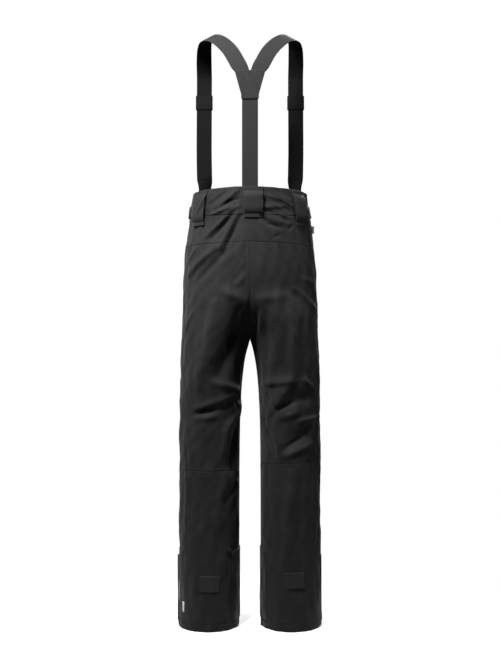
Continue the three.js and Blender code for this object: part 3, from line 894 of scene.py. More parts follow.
# Each row: across and height of the start, the same of the end, the width, the relief, and the
# right-hand width if that differs. All are in millimetres, as in Fold.
BACK_FOLDS = (
    # Waistband and yoke, left of the middle.
    (-41, -61, -91, -116, 5, -4.6), (-25, -66, -64, -158, 5, -4.8), (-33, -64, -70, -140, 6, 4.6),
    (-52, -62, -104, -112, 5, 2.8), (-72, -134, -146, -202, 7, 4.0, 11),
    (-127, -139, -148, -168, 6, 2.6), (-60, -150, -128, -222, 8, -2.6), (-30, -5, -75, -45, 4, 2.8),
    (-41, -42, -88, -58, 4, 3.0), (-48, -28, -86, -52, 4, -2.8), (-95, -8, -120, -50, 5, 2.2),
    (-26, -24, -62, -34, 3.5, -1.8), (-24, -40, -58, -58, 3.5, 2.0), (-60, -10, -96, -36, 4, -1.8),
    (-30, -205, -15, -173, 5, 2.2), (-30, -228, -12, -205, 5, 2.2), (-36, -216, -20, -188, 4, -1.8),
    # Waistband and yoke, right of the middle.
    (27, -66, 46, -84, 5, -4.8), (46, -84, 72, -92, 4.5, -3.2), (34, -48, 66, -60, 4, -2.4),
    (36, -44, 80, -40, 5, 1.8), (42, -28, 74, -44, 3.5, 2.4), (66, -20, 100, -38, 3.5, 2.4),
    (50, -54, 92, -66, 3.5, 2.2), (30, -50, 52, -60, 3.5, -2.4), (26, -12, 70, -24, 4, 2.0),
    (28, -26, 62, -34, 3.5, -1.8), (84, -28, 92, -60, 4.5, 1.6), (62, -36, 98, -52, 4.5, -1.8),
    (90, -95, 100, -84, 3, -2.2), (58, -116, 68, -107, 3, -2.2), (46, -70, 88, -82, 5, 1.8),
    (60, -12, 96, -26, 5, 2.2), (108, -237, 158, -284, 7, 3.4, 12), (126, -210, 152, -222, 8, 2.2),
    (84, -238, 138, -262, 15, -3.0),
    # Under the seat: the deep hollow left of the inseam and the crest beside it.
    (-26, -290, -46, -367, 20, -11.0, 10), (-30, -340, -76, -440, 18, -9.0),
    (-7, -262, -38, -338, 4, 5.4, 8), (-83, -274, -101, -392, 22, 6.4, 12),
    (-101, -392, -122, -459, 18, 5.0), (-118, -290, -136, -380, 11, -2.6),
    (-135, -289, -157, -346, 6, 3.6), (-66, -240, -20, -262, 12, 3.4), (-84, -458, -30, -478, 9, 3.2),
    (18, -286, 12, -345, 8, -5.0), (30, -300, 40, -400, 12, -3.4), (62, -270, 68, -400, 16, 4.0),
    (96, -290, 98, -452, 24, 4.2, 9), (122, -320, 128, -440, 12, -3.4), (20, -262, 84, -250, 12, 2.4),
    # Back of the left knee.
    (-130, -532, -92, -524, 6, -4.2, 9), (-92, -524, -24, -496, 9, -3.2),
    (-124, -520, -30, -482, 9, 3.0), (-18, -500, -54, -560, 20, 4.8, 7),
    (-54, -560, -72, -650, 22, 4.6, 8), (-30, -560, -46, -660, 15, -7.0),
    (-122, -545, -80, -538, 9, 2.8), (-150, -560, -140, -650, 6, 3.0, 10),
    (-108, -580, -100, -650, 12, -3.0), (-158, -600, -152, -690, 5, 2.4),
    # Back of the right knee.
    (34, -462, 97, -457, 12, 3.6, 7), (97, -457, 60, -522, 8, 4.6, 20),
    (64, -522, 98, -505, 5, -4.4, 9), (100, -500, 148, -490, 14, -4.2), (129, -451, 156, -482, 6, 4.0),
    (117, -550, 164, -541, 6, 4.2, 9), (38, -486, 60, -524, 6, -3.2), (70, -545, 112, -530, 9, 3.2),
    (82, -615, 130, -584, 6, -4.2, 9), (100, -594, 140, -566, 12, -3.0), (86, -634, 146, -604, 8, 3.4),
    (34, -550, 60, -632, 6, -4.6), (58, -556, 78, -636, 10, 3.4), (150, -560, 138, -640, 6, 2.8),
    # Lower legs.
    (-24, -672, -58, -743, 8, -5.0), (-60, -684, -84, -800, 18, 3.2, 9),
    (-150, -690, -156, -860, 9, 2.4), (-132, -680, -120, -790, 12, -2.4),
    (-108, -700, -112, -900, 16, -2.2), (-52, -860, -40, -872, 4, 2.0),
    (-54, -872, -42, -885, 4, -2.0), (-92, -960, -70, -1010, 10, 1.8),
    (-30, -760, -44, -900, 14, -2.6), (98, -672, 80, -905, 22, 3.8, 9),
    (120, -700, 112, -960, 14, -2.8), (40, -700, 52, -880, 14, -2.0), (150, -690, 156, -840, 8, 1.8),
    (132, -946, 120, -1010, 9, 1.8),
)
# Front: a few drag lines at the hips, and soft breaks over the knees.
FRONT_FOLDS = (
    (30, -262, 120, -232, 12, 2.8), (-30, -262, -120, -232, 12, 2.8), (26, -300, 96, -290, 10, -3.0),
    (-26, -300, -104, -284, 10, -3.0), (24, -330, 110, -356, 11, 2.8),
    (-24, -330, -116, -348, 11, 2.8), (60, -490, 140, -470, 10, -3.0),
    (-54, -484, -140, -474, 10, -3.0), (48, -640, 140, -650, 9, -3.2),
    (-48, -644, -140, -636, 9, -3.2), (70, -690, 92, -800, 16, 3.0), (-70, -690, -100, -820, 16, 3.0),
    (120, -380, 110, -470, 14, 3.0), (-122, -380, -106, -470, 14, 3.0), (58, -860, 80, -960, 12, -2.2),
    (-58, -850, -76, -950, 12, -2.2),
)


def folds_from(rows: Sequence[Sequence[float]], front: bool) -> tuple[Fold, ...]:
    """The folds that a table's rows stand for."""
    return tuple(Fold((a, b), (c, d), width, relief, front, *more) for a, b, c, d, width, relief, *more in rows)


# ---- The workroom ---------------------------------------------------------------------------


@dataclass
class Workroom:
    """What every sub-assembly shares: the pattern, the finishes and the way a piece is finished off."""

    pattern: Pattern
    finish: Finishes
    knee_start: float = -470.0
    knee_end: float = -670.0
    leg_middle: float = 97.5

    def attach(
        self, piece: bpy.types.Object, body: Body | str, side: Side | None, replaced: Sequence[str]
    ) -> None:
        """Parents a piece to its body's empty, or bakes it in place, then hides the CAD nodes it stands for.

        Args:
            piece: the finished object.
            body: a Body, or the full name of a moving trim's own body.
            side: the leg it belongs to; with Body.LOWER_LEG a piece that reaches above the knee's end is baked in place
                instead of attached.
            replaced: the CAD nodes that it stands for.
        """
        if body is Body.LOWER_LEG and side is not None:
            leg = f"{side.word}_lower_leg"
            x = side.value * self.leg_middle * MM
            ends = {"start": (x, 0, self.knee_start * MM), "end": (x, 0, self.knee_end * MM)}
            if self._reaches_knee(piece):
                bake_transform(piece)
            else:
                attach(piece, leg)
        else:
            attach(piece, body.value if isinstance(body, Body) else body)
        if replaced:
            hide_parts(*replaced)

    def trim(
        self, name: str, solid: Solid, materials: Sequence[bpy.types.Material], body: Body | str, slot: str,
        replaced: Sequence[str] = (), side: Side | None = None,
    ) -> bpy.types.Object:
        """Makes a solid an object with its materials, and attaches it.

        Args:
            name: the piece's name.
            solid: its shape.
            materials: one per material number used.
            body: a Body, or the full name of a body.
            slot: the name of a material slot; not used.
            replaced: the CAD nodes that it stands for.
            side: the leg it belongs to, if any.

        Returns:
            The object.
        """
        piece = make_object(name, solid, materials)
        self.attach(piece, body, side, replaced)
        return piece

    def _reaches_knee(self, piece: bpy.types.Object) -> bool:
        """Whether any of the piece is above the end of the knee's bending zone.

        Args:
            piece: the object.

        Returns:
            True if any of it is above that height.
        """
        places = np.empty(len(piece.data.vertices) * 3, np.float32)
        piece.data.vertices.foreach_get("co", places)
        return bool(places[2::3].max() > self.knee_end * MM + 1e-4)

    def panel(
        self, stations: Array, top: Callable[[Array], Array], bottom: Callable[[Array], Array], cloth: float,
        off: float = 0.0, step: float = 3.6, radius: float = 1.3, pucker: float = 0.4, fall: float = 60.0,
        loop: bool = False,
    ) -> tuple[Solid, tuple[float, float], float]:
        """A cloth panel on the body, thick, with rolled edges and small puckers along its seams.

        A row follows the outline near the top and bottom edge and is level between; heights are close
        together at the edges and where the legs part.

        Args:
            stations: (columns, 2) side and u across the panel.
            top: height of the top edge, as a function of u.
            bottom: height of the bottom edge.
            cloth: thickness.
            off: how far the outer face stands off the surface.
            step: usual size of a face.
            radius: of the rolled edges.
            pucker: height of the puckers.
            fall: how far from the edge a row still follows it.
            loop: whether the panel is a closed tube.

        Returns:
            The solid, its flat width and length in metres, and its flat area in square metres.
        """
        side, u = stations[:, 0], stations[:, 1]
        high, low = float(np.mean(top(u))), float(np.mean(bottom(u)))
        base = high - edge_steps(high - low, step)
        if high > self.pattern.crotch > low:
            near = self.pattern.crotch + np.array([0.0, 0.2, 0.8, 1.8, 3.2, 5.0, 7.2, -1.0])
            base = np.unique(np.concatenate([base[np.abs(base - near[4]) > 4.6], near]))[::-1]
        fall = min(fall, (high - low) / 2)
        z = (
            base[:, None]
            + (top(u) - high)[None, :] * smooth(1 - (high - base) / fall)[:, None]
            + (bottom(u) - low)[None, :] * smooth(1 - (base - low) / fall)[:, None]
        )
        around = self.around(side, u, z)
        down = (base[0] - base)[:, None] + 0 * around
        gaps = [high - base[:, None] + 0 * around, base[:, None] - low + 0 * around]
        if not loop:
            gaps += [around - around[:, :1], around[:, -1:] - around]
        gap = np.minimum.reduce(gaps)
        wave = np.sin(around / 1.35 + np.sin(around / 11.0)) * np.exp(-np.minimum(gaps[0], gaps[1]) / 6.0)
        if not loop:
            wave = wave + np.sin(down / 1.6 + np.sin(down / 13.0)) * np.exp(-np.minimum(gaps[2], gaps[3]) / 6.0)
        shape = off - edge_roll(gap, radius) + pucker * wave * smooth(gap / 3.0)
        outer = self.pattern.point(side, u, z, shape)
        inner = self.pattern.point(side, u, z, off - cloth)
        meet = (1 - smooth((1 - np.abs(u)) / 0.05)) * smooth((z - self.pattern.crotch + 25) / 25)
        flat_x = self.pattern.skin(side, u, z)[..., 0]
        flush = np.clip(np.abs(flat_x).min(1, keepdims=True) - 0.03, 0, 0.8) * side
        outer[..., 0] += (flat_x - flush - outer[..., 0]) * meet
        widths = around[:, -1] - around[:, 0] + (around[:, 1] - around[:, 0] if loop else 0)
        flat = (float(widths.max()) * MM, (high - low) * MM)
        solid = cloth_solid(outer, inner, np.stack([around, -down], -1), loop)
        return solid, flat, float(widths.mean()) * (high - low) * MM * MM

    def around(self, side: Array, u: Array, z: Array) -> Array:
        """Distance along each row of a panel, as a running sum of chords.

        Args:
            side: side of each column.
            u: u of each column.
            z: (rows, columns) heights.

        Returns:
            (rows, columns) distances.
        """
        points = self.pattern.skin(side, u, z)
        chords = np.linalg.norm(np.diff(points, axis=1), axis=-1)
        return np.concatenate([np.zeros((len(z), 1)), np.cumsum(chords, 1)], 1)

    def cloth_piece(
        self, name: str, stations: Array, top: Callable, bottom: Callable, cloth: float, body: Body,
        side: Side | None, replaced: Sequence[str], material: bpy.types.Material, slot: str = "shell",
        held: str = "hung", **shape: object,
    ) -> bpy.types.Object:
        """Args:
            name: the piece's name.
            stations: (columns, 2) side and u across the panel.
            top: height of the top edge, as a function of u.
            bottom: height of the bottom edge.
            cloth: thickness.
            body: the body it rides on.
            side: the leg it belongs to, if any.
            replaced: the CAD nodes that it stands for.
            material: of the outer face.
            slot: the name of a material slot, passed on to trim.
            held: how the sheet is held; not used.
            shape: the rest of panel's sizes.

        Returns:
            The object.
        """
        solid, flat, area = self.panel(stations, top, bottom, cloth, **shape)
        piece = self.trim(name, solid, [material, self.finish.lining], body, slot, replaced, side)
        return piece

    def columns(self, side: Side, start: float, end: float, length: float, step: float = 3.6) -> Array:
        """Stations from one u to another on one side, close together at both ends.

        Args:
            side: the side.
            start: first u.
            end: last u.
            length: usual distance between them.
            step: usual distance between stations.

        Returns:
            (n, 2) side and u.
        """
        share = edge_steps(length, step) / length
        u = start + (end - start) * share
        return np.stack([np.full(len(u), float(side.value)), u], -1)

    def strip(
        self, side: Side, u: float, width: float, line: Sequence[tuple[float, float]], cloth: float,
        shift: float = 0.0, columns: int = 14, rows: int = 40, roll: float = 0.7,
    ) -> Solid:
        """A strip of cloth that follows the body sideways and a line of (height, off) up and down.

        The line is smoothed by a Catmull-Rom curve; the two faces lie half the cloth to either side of
        it, along its normal, and both roll in at the long edges.

        Args:
            side: the side.
            u: place round the body.
            width: of the strip.
            line: (height, off) stops.
            cloth: thickness.
            shift: distance of its middle from u.
            columns: usual count across.
            rows: count along.
            roll: radius of the rolled edges.

        Returns:
            The solid.
        """
        curve = catmull_rom(np.array(line, float), rows)
        way = np.gradient(curve, axis=0)
        way /= np.linalg.norm(way, axis=-1, keepdims=True)
        normal = np.stack([-way[:, 1], way[:, 0]], -1)
        normal *= np.sign(normal[len(normal) // 2, 1])
        across = (edge_steps(width, width / columns) - width / 2) + shift
        near = np.minimum(across - across[0], across[-1] - across)
        half = cloth / 2 - edge_roll(near, roll)[None, :] * min(1.0, cloth / 2 / roll * 0.8)
        faces = []
        for way_out in (1, -1):
            place = curve[:, None, :] + normal[:, None, :] * (way_out * half)[..., None]
            faces.append(self.pattern.beside(side.value, u, across[None, :], place[..., 0], place[..., 1]))
        run = running(curve)
        uv = stacked(across[None, :], run[:, None])
        return cloth_solid(*faces, uv)


def catmull_rom(stops: Array, count: int, tangents: bool = False) -> Array:
    """Places along a centripetal Catmull-Rom curve, even in the curve's own parameter.

    Each span blends its four stops by the square roots of their spacing, as a pyramid of lines.

    Args:
        stops: (n, dimensions) points that the curve passes through.
        count: how many places.
        tangents: whether to give places and unit tangents.

    Returns:
        (count, dimensions) places, or with tangents a (2, count, dimensions) array.
    """
    padded = np.concatenate([2 * stops[:1] - stops[1:2], stops, 2 * stops[-1:] - stops[-2:-1]])
    knots = np.concatenate([[0], np.cumsum(np.linalg.norm(np.diff(padded, axis=0), axis=-1) ** 0.5)])
    share = np.linspace(0, len(stops) - 1, count)
    i = np.minimum(share.astype(int), len(stops) - 2)
    t = knots[i + 1] + (share - i) * (knots[i + 2] - knots[i + 1])

    def at(t: Array) -> Array:
        """The curve at knot values t, for the spans in i.

        Args:
            t: knot values.

        Returns:
            The places.
        """
        p = [padded[i + k] for k in range(4)]
        k = [knots[i + n] for n in range(4)]

        def line(a: Array, b: Array, ka: Array, kb: Array) -> Array:
            """The line through a and b at t."""
            w = ((t - ka) / (kb - ka))[:, None]
            return a * (1 - w) + b * w

        first = [line(p[n], p[n + 1], k[n], k[n + 1]) for n in range(3)]
        second = [line(first[n], first[n + 1], k[n], k[n + 2]) for n in range(2)]
        return line(second[0], second[1], k[1], k[2])

    if not tangents:
        return at(t)
    way = at(t + 1e-3) - at(t - 1e-3)
    return np.stack([at(t), way / np.linalg.norm(way, axis=-1, keepdims=True)])


def unit(vectors: Array) -> Array:
    """The vectors at length one."""
    return vectors / np.linalg.norm(vectors, axis=-1, keepdims=True)


def running(points: Array) -> Array:
    """Distance along points from the first: a sum of chords."""
    return np.concatenate([[0], np.cumsum(np.linalg.norm(np.diff(points, axis=0), axis=-1))])


def stacked(*parts: Array | float) -> Array:
    """The parts broadcast together and stacked along a new last axis."""
    return np.stack(np.broadcast_arrays(*parts), -1)


def webbing_solid(
    at: Array, across: Array, out: Array, width: Array | float, cloth: float, reversed_end: int = 0
) -> Solid:
    """Webbing along frames: a flat section with rounded long edges and shallow ribs.

    Args:
        at: (count, 3) centreline.
        across: (count, 3) unit directions across.
        out: (count, 3) unit directions of its face.
        width: one width, or one per frame.
        cloth: thickness.
        reversed_end: how many of the last lengths have material number 1 on both faces.

    Returns:
        The solid, mapped across and along in millimetres; its back face has material number 1.
    """
    s = np.array([-1, -0.985, -0.94, *np.linspace(-0.86, 0.86, 12), 0.94, 0.985, 1])
    high = np.sqrt(np.clip(1 - np.abs(s) ** 14, 0.0, 1)) * 0.98 + 0.02
    section = np.concatenate([np.stack([s, high], -1), np.stack([s, -high], -1)[::-1]])
    width = np.broadcast_to(np.asarray(width, float), (len(at),))
    rings = (
        at[:, None]
        + across[:, None] * (section[None, :, :1] * width[:, None, None] / 2)
        + out[:, None] * (section[None, :, 1:] * cloth / 2)
    )
    run = running(at)
    uv = stacked(section[None, :, 0] * width[:, None] / 2, run[:, None])
    solid = loft_solid(rings, uv)
    behind = (np.arange(len(section)) >= len(s)).astype(int)
    slots = np.tile(behind, (len(at) - 1, 1))
    slots[len(slots) - reversed_end :] = 1
    solid.slots = [*slots.ravel().tolist(), 0, 0]
    return solid


def plate(
    at: Array, axes: tuple[Array, Array, Array], outline: Array, thick: float, bevel: float = 0.35
) -> Solid:
    """A plate with bevelled edges.

    Args:
        at: the middle of its lower face.
        axes: unit directions of the outline's first and second number, and of the thickness.
        outline: (n, 2) corners about the middle.
        thick: thickness.
        bevel: how far the edge is taken in and down.

    Returns:
        The solid.
    """
    size = np.abs(outline).max(0)
    inset = outline * (1 - bevel / size)
    levels = [(inset, 0.0), (outline, bevel), (outline, thick - bevel), (inset, thick)]
    rings = np.stack([at + o[:, :1] * axes[0] + o[:, 1:] * axes[1] + h * axes[2] for o, h in levels])
    uv = np.stack([o for o, _ in levels])
    return loft_solid(rings, uv)


def rounded_outline(width: float, height: float, power: float = 5.0, count: int = 28) -> Array:
    """A superellipse: |x/a| and |y/b| to a power add up to one.

    Args:
        width: 2a.
        height: 2b.
        power: the higher, the squarer.
        count: corners.

    Returns:
        (count, 2) corners.
    """
    t = np.linspace(0, 2 * np.pi, count, endpoint=False)
    x, y = np.cos(t), np.sin(t)
    shape = np.stack([np.sign(x) * np.abs(x) ** (2 / power), np.sign(y) * np.abs(y) ** (2 / power)], -1)
    return shape * np.array([width / 2, height / 2])


def turned(at: Array, axis: Array, profile: Sequence[tuple[float, float]], count: int = 32) -> Solid:
    """A turned disc: a profile of (height, radius) pairs carried round an axis.

    Args:
        at: where height is 0.
        axis: unit direction.
        profile: the pairs.
        count: corners of a ring.

    Returns:
        The solid.
    """
    helper = np.array([0.0, 0.0, 1.0]) if abs(axis[2]) < 0.9 else np.array([1.0, 0.0, 0.0])
    first = unit(np.cross(helper, axis))
    second = np.cross(axis, first)
    t = np.linspace(0, 2 * np.pi, count, endpoint=False)
    circle = np.cos(t)[:, None] * first + np.sin(t)[:, None] * second
    rings = np.stack([at + h * axis + r * circle for h, r in profile])
    return loft_solid(rings)


def ring_solid(path: Array, normal: Array, radius: float, count: int = 12) -> Solid:
    """A round wire along a closed flat path: a circle in the plane of its normal and the path's side.

    Args:
        path: (n, 3) middle line.
        normal: unit direction square to its plane.
        radius: of the wire.
        count: corners of the section.

    Returns:
        The solid.
    """
    way = unit(np.roll(path, -1, 0) - np.roll(path, 1, 0))
    beside = np.cross(way, normal)
    t = np.linspace(0, 2 * np.pi, count, endpoint=False)
    rings = path[:, None] + radius * (
        np.cos(t)[None, :, None] * beside[:, None] + np.sin(t)[None, :, None] * normal
    )
    n = len(path)
    faces = grid_quads(n + 1, count, 0, True) % (n * count)
    return Solid(rings.reshape(-1, 3), [faces], np.zeros((n * count, 2)), [0] * len(faces))


@dataclass
class Stitches:
    """Rows of topstitching, gathered until they become one piece per body."""

    room: Workroom
    length: float = 3.0
    pitch: float = 4.0
    width: float = 0.75
    rise: float = 0.42
    rows: dict[str, list[Solid]] = field(default_factory=dict)

    def add(self, key: str, side: float, u: Array | float, z: Array | float, off: float) -> None:
        """A row along a path on the body, given densely.

        Each stitch is a long lozenge: its ends and sides lie on the cloth, and its middle stands proud.

        Args:
            key: which piece the row goes into.
            side: 1 or -1.
            u: u of each place, or one for all.
            z: height of each place, or one for all.
            off: how far above the surface the stitches lie.
        """
        pattern = self.room.pattern
        side, u, z = np.broadcast_arrays(side, u, z)
        run = running(pattern.skin(side, u, z))
        middles = np.arange(self.pitch / 2, run[-1] - self.pitch / 2, self.pitch)
        if len(middles) < 1:
            return

        def sample(s: Array) -> Array:
            """Places on the cloth at distances along the row."""
            pick = [np.interp(s, run, v) for v in (side, u, z)]
            return pattern.point(np.sign(pick[0]), pick[1], pick[2], off)

        at, first, last = sample(middles), sample(middles - self.length / 2), sample(middles + self.length / 2)
        pick = [np.interp(middles, run, v) for v in (side, u, z)]
        out = pattern.level(np.sign(pick[0]), pick[1], pick[2])[2]
        self.add_lozenges(key, at, first, last, out)

    def add_line(self, key: str, start: Array, end: Array, out: Array) -> None:
        """A straight row between two places, on a face that points out.

        Args:
            key: which piece the row goes into.
            start: one end.
            end: the other.
            out: unit direction out of the face.
        """
        size = float(np.linalg.norm(end - start))
        middles = np.arange(self.pitch / 2, size - self.pitch / 3, self.pitch)[:, None] / size
        half = self.length / 2 / size
        spots = [start + (end - start) * (middles + k * half) for k in (0, -1, 1)]
        self.add_lozenges(key, *spots, np.broadcast_to(out, spots[0].shape))

    def add_lozenges(self, key: str, at: Array, first: Array, last: Array, out: Array) -> None:
        """Stitches from their middles, ends and outward directions.

        Args:
            key: which piece they go into.
            at: middles.
            first: their first ends.
            last: their last ends.
            out: unit directions outwards.
        """
        across = unit(np.cross(out, last - first)) * self.width / 2
        corners = [first, at + across, last, at - across, at + out * self.rise, at - out * self.rise]
        points = np.stack(corners, 1).reshape(-1, 3)
        one = np.array([[0, 1, 4], [1, 2, 4], [2, 3, 4], [3, 0, 4], [1, 0, 5], [2, 1, 5], [3, 2, 5], [0, 3, 5]])
        faces = (one[None] + 6 * np.arange(len(at))[:, None, None]).reshape(-1, 3)
        solid = Solid(points, [faces], np.zeros((len(points), 2)), [0] * len(faces))
        self.rows.setdefault(key, []).append(solid)

    def level_row(self, key: str, side: Side, start: float, end: float, height: Callable, off: float = 0.1) -> None:
        """A row across the body whose height is a function of u."""
        u = np.linspace(start, end, 200)
        self.add(key, side.value, u, height(u), off)

    def upright_row(self, key: str, side: Side, u: float, inset: float, top: float, bottom: float) -> None:
        """A row down the body at a distance round it from u.

        Args:
            key: which piece the row goes into.
            side: the side.
            u: place round the body.
            inset: distance from there.
            top: height of the upper end.
            bottom: height of the lower end.
        """
        z = np.linspace(top, bottom, 240)
        per_u = self.room.pattern.level(side.value, u * 0.97, z)[1]
        self.add(key, side.value, u + inset / per_u, z, 0.1)

    def finish(self) -> None:
        """Makes one piece of the rows of each key."""
        for key, solids in self.rows.items():
            side = {"right_leg": Side.RIGHT, "left_leg": Side.LEFT}.get(key)
            body = Body.LOWER_LEG if side else Body.PANTS
            thread = [self.room.finish.thread]
            self.room.trim(f"{key}_stitching", joined(solids), thread, body, "shell", side=side)


# ---- Sub-assemblies -------------------------------------------------------------------------


@dataclass
class Shell:
    """The garment's panels: waistband, yoke, thighs, knees, lower legs and hem bands."""

    room: Workroom
    stitches: Stitches
    band_cloth: float = 5.0
    hem_cloth: float = 4.0
    edge: float = 0.00002
    gap: float = 0.02
    waist_run: float = 172.0
    leg_run: float = 190.0
    right_slant: tuple[float, float] = (-658.0, -644.0)

    def build(self) -> None:
        """Makes every panel."""
        self.waist()
        self.seam_tape()
        for side in Side:
            self.back_of_leg(side)
            self.front_of_leg(side)
            self.hem(side)

    def knee_height(self, side: Side) -> Callable[[Array], Array]:
        """The seam under the back of the knee: level on the left, rising to the outseam on the right.

        Args:
            side: the leg.

        Returns:
            Its height as a function of u.
        """
        if side is Side.LEFT:
            return lambda u: self.room.pattern.knee_seam + 0 * u
        inner, outer = self.right_slant
        return lambda u: outer + (inner - outer) * np.abs(u) + (self.room.pattern.knee_seam - outer) * (
            smooth(1 - np.abs(u) / 0.1)
        )

    def waist(self) -> None:
        """The waistband in three pieces, and the yoke under it."""
        room, pattern, gap = self.room, self.room.pattern, self.gap
        left = room.columns(Side.LEFT, -self.edge, -1 + 0.0001, self.waist_run)
        right = room.columns(Side.RIGHT, -1 + 0.0001, -self.edge, self.waist_run)
        back = np.concatenate([left[:-4], right[4:]])
        shell = room.finish.shell
        foot = lambda u: pattern.band_foot + 0 * u
        room.cloth_piece(
            "back_waistband", back, pattern.waist_top, foot, self.band_cloth, Body.PANTS, None,
            ["waistband_back"], shell, step=2.6, radius=2.0, held="gathered",
        )
        room.cloth_piece(
            "yoke", back, lambda u: foot(u) - gap, pattern.yoke_seam, pattern.cloth, Body.PANTS, None,
            ["back_yoke"], shell, step=2.6,
        )
        for side in Side:
            quarter = room.columns(side, self.edge, 1 - self.edge, self.waist_run)
            room.cloth_piece(
                f"{side.word}_front_waistband", quarter, pattern.waist_top, foot, self.band_cloth, Body.PANTS,
                None, [f"{side.word}_waistband_front"], shell, radius=2.0,
            )
            for shift in (4.0, -7.0):
                self.stitches.level_row("pants", side, -0.995, -0.01, lambda u: foot(u) + shift)
            self.stitches.level_row("pants", side, 0.01, 0.99, lambda u: foot(u) - 5.0)
            self.stitches.level_row("pants", side, 0.01, 0.99, lambda u: pattern.waist_top(u) - 6.0)
            self.stitches.level_row("pants", side, -0.99, -0.01, lambda u: pattern.waist_top(u) - 6.0)
            for shift in (4.5, -4.5, -10.0):
                self.stitches.level_row("pants", side, -0.99, -0.01, lambda u: pattern.yoke_seam(u) + shift)

    def seam_tape(self) -> None:
        """Tapes inside the centre seams: a strip across the seam, a little inside the cloth."""
        room, pattern = self.room, self.room.pattern
        for word, end, top in (("back", -1.0, pattern.yoke - 8), ("front", 1.0, pattern.band_foot - 6)):
            share = np.linspace(0, 1, 90)
            z = pattern.crotch + 1.5 + (top - pattern.crotch - 1.5) * share**1.5
            y = pattern.skin(np.ones(90), np.full(90, end), z)[:, 1]
            drawn = pattern.relief(np.ones(90), np.full(90, end), z, False)
            y = y - np.sign(y) * (4.4 - np.minimum(drawn, 0))
            at = np.stack([0 * y, y, z], -1)
            across = np.broadcast_to(np.array([1.0, 0, 0]), at.shape)
            out = unit(np.cross(unit(np.gradient(at, axis=0)), across)) * -end
            tape = webbing_solid(at, across, out, 9.0, 0.8)
            room.trim(f"{word}_seam_tape", tape, [room.finish.lining], Body.PANTS, "shell")

    def back_of_leg(self, side: Side) -> None:
        """The seat and thigh down to the knee seam, and the calf under it.

        Args:
            side: the leg.
        """
        room, pattern, word = self.room, self.room.pattern, side.word
        quarter = room.columns(side, -self.edge, -1 + self.edge, self.leg_run)
        seam = self.knee_height(side)
        room.cloth_piece(
            f"{word}_back_thigh", quarter, lambda u: pattern.yoke_seam(u) - self.gap, seam, pattern.cloth,
            Body.LOWER_LEG, side, [f"{word}_seat_panel", f"{word}_knee_back_panel"], room.finish.shell,
        )
        foot = pattern.hem + pattern.hem_band
        room.cloth_piece(
            f"{word}_calf", quarter, lambda u: seam(u) - self.gap, lambda u: foot + 0 * u, pattern.cloth,
            Body.LOWER_LEG, side, [f"{word}_calf_panel"], room.finish.shell,
        )
        key = f"{word}_leg"
        for shift in (-4.0, -9.0):
            self.stitches.level_row(key, side, -0.985, -0.015, lambda u: seam(u) + shift)
        for inset in (5.0, 10.0):
            self.stitches.upright_row("pants", side, -1, inset, pattern.yoke - 6, pattern.crotch + 14)
        self.stitches.upright_row(key, side, -1, 5.0, pattern.crotch - 8, foot + 4)
        self.stitches.upright_row("pants", side, 0, -5.0, pattern.yoke - 16, pattern.crotch)
        self.stitches.upright_row(key, side, 0, -5.0, pattern.crotch, foot + 30)

    def front_of_leg(self, side: Side) -> None:
        """The front thigh, the knee panel and the shin.

        Args:
            side: the leg.
        """
        room, pattern, word, gap = self.room, self.room.pattern, side.word, self.gap
        quarter = room.columns(side, self.edge, 1 - self.edge, self.leg_run)
        flat = lambda z: lambda u: z + 0 * u
        shell, key = room.finish.shell, f"{word}_leg"
        knee, seam, foot = pattern.knee_top, pattern.knee_seam, pattern.hem + pattern.hem_band
        parts = [
            ("front_thigh", pattern.band_foot - gap, knee, "front_panel", Body.PANTS),
            ("front_knee", knee - gap, seam, "knee_front_panel", Body.LOWER_LEG),
            ("shin", seam - gap, foot, "shin_panel", Body.LOWER_LEG),
        ]
        for name, top, bottom, node, body in parts:
            room.cloth_piece(
                f"{word}_{name}", quarter, flat(top), flat(bottom), pattern.cloth, body,
                side if body is Body.LOWER_LEG else None, [f"{word}_{node}"], shell, step=4.2,
            )
        for shift in (4.5, 9.5):
            self.stitches.level_row("pants", side, 0.015, 0.985, flat(knee + shift))
        for shift in (-4.5, -9.5):
            self.stitches.level_row(key, side, 0.015, 0.985, flat(seam + shift))
        self.stitches.upright_row("pants", side, 1, -5.0, pattern.crotch + 118, pattern.crotch + 14)

    def hem(self, side: Side) -> None:
        """The folded hem band, one closed tube, with a row of stitches near its top edge.

        Args:
            side: the leg.
        """
        room, pattern, word = self.room, self.room.pattern, side.word
        u = np.linspace(-1, 1, 161)[:-1]
        stations = np.stack([np.full(160, float(side.value)), u], -1)
        top = pattern.hem + pattern.hem_band - self.gap
        room.cloth_piece(
            f"{word}_hem", stations, lambda u: top + 0 * u, lambda u: pattern.hem + 0 * u, self.hem_cloth,
            Body.LOWER_LEG, side, [f"{word}_hem_band"], room.finish.shell, step=2.4, radius=1.6, loop=True,
        )
        self.stitches.level_row(f"{word}_leg", side, -0.99, 0.99, lambda u: top - 3.0 + 0 * u)
        self.stitches.level_row(f"{word}_leg", side, -0.99, 0.99, lambda u: top + 3.5 + 0 * u)


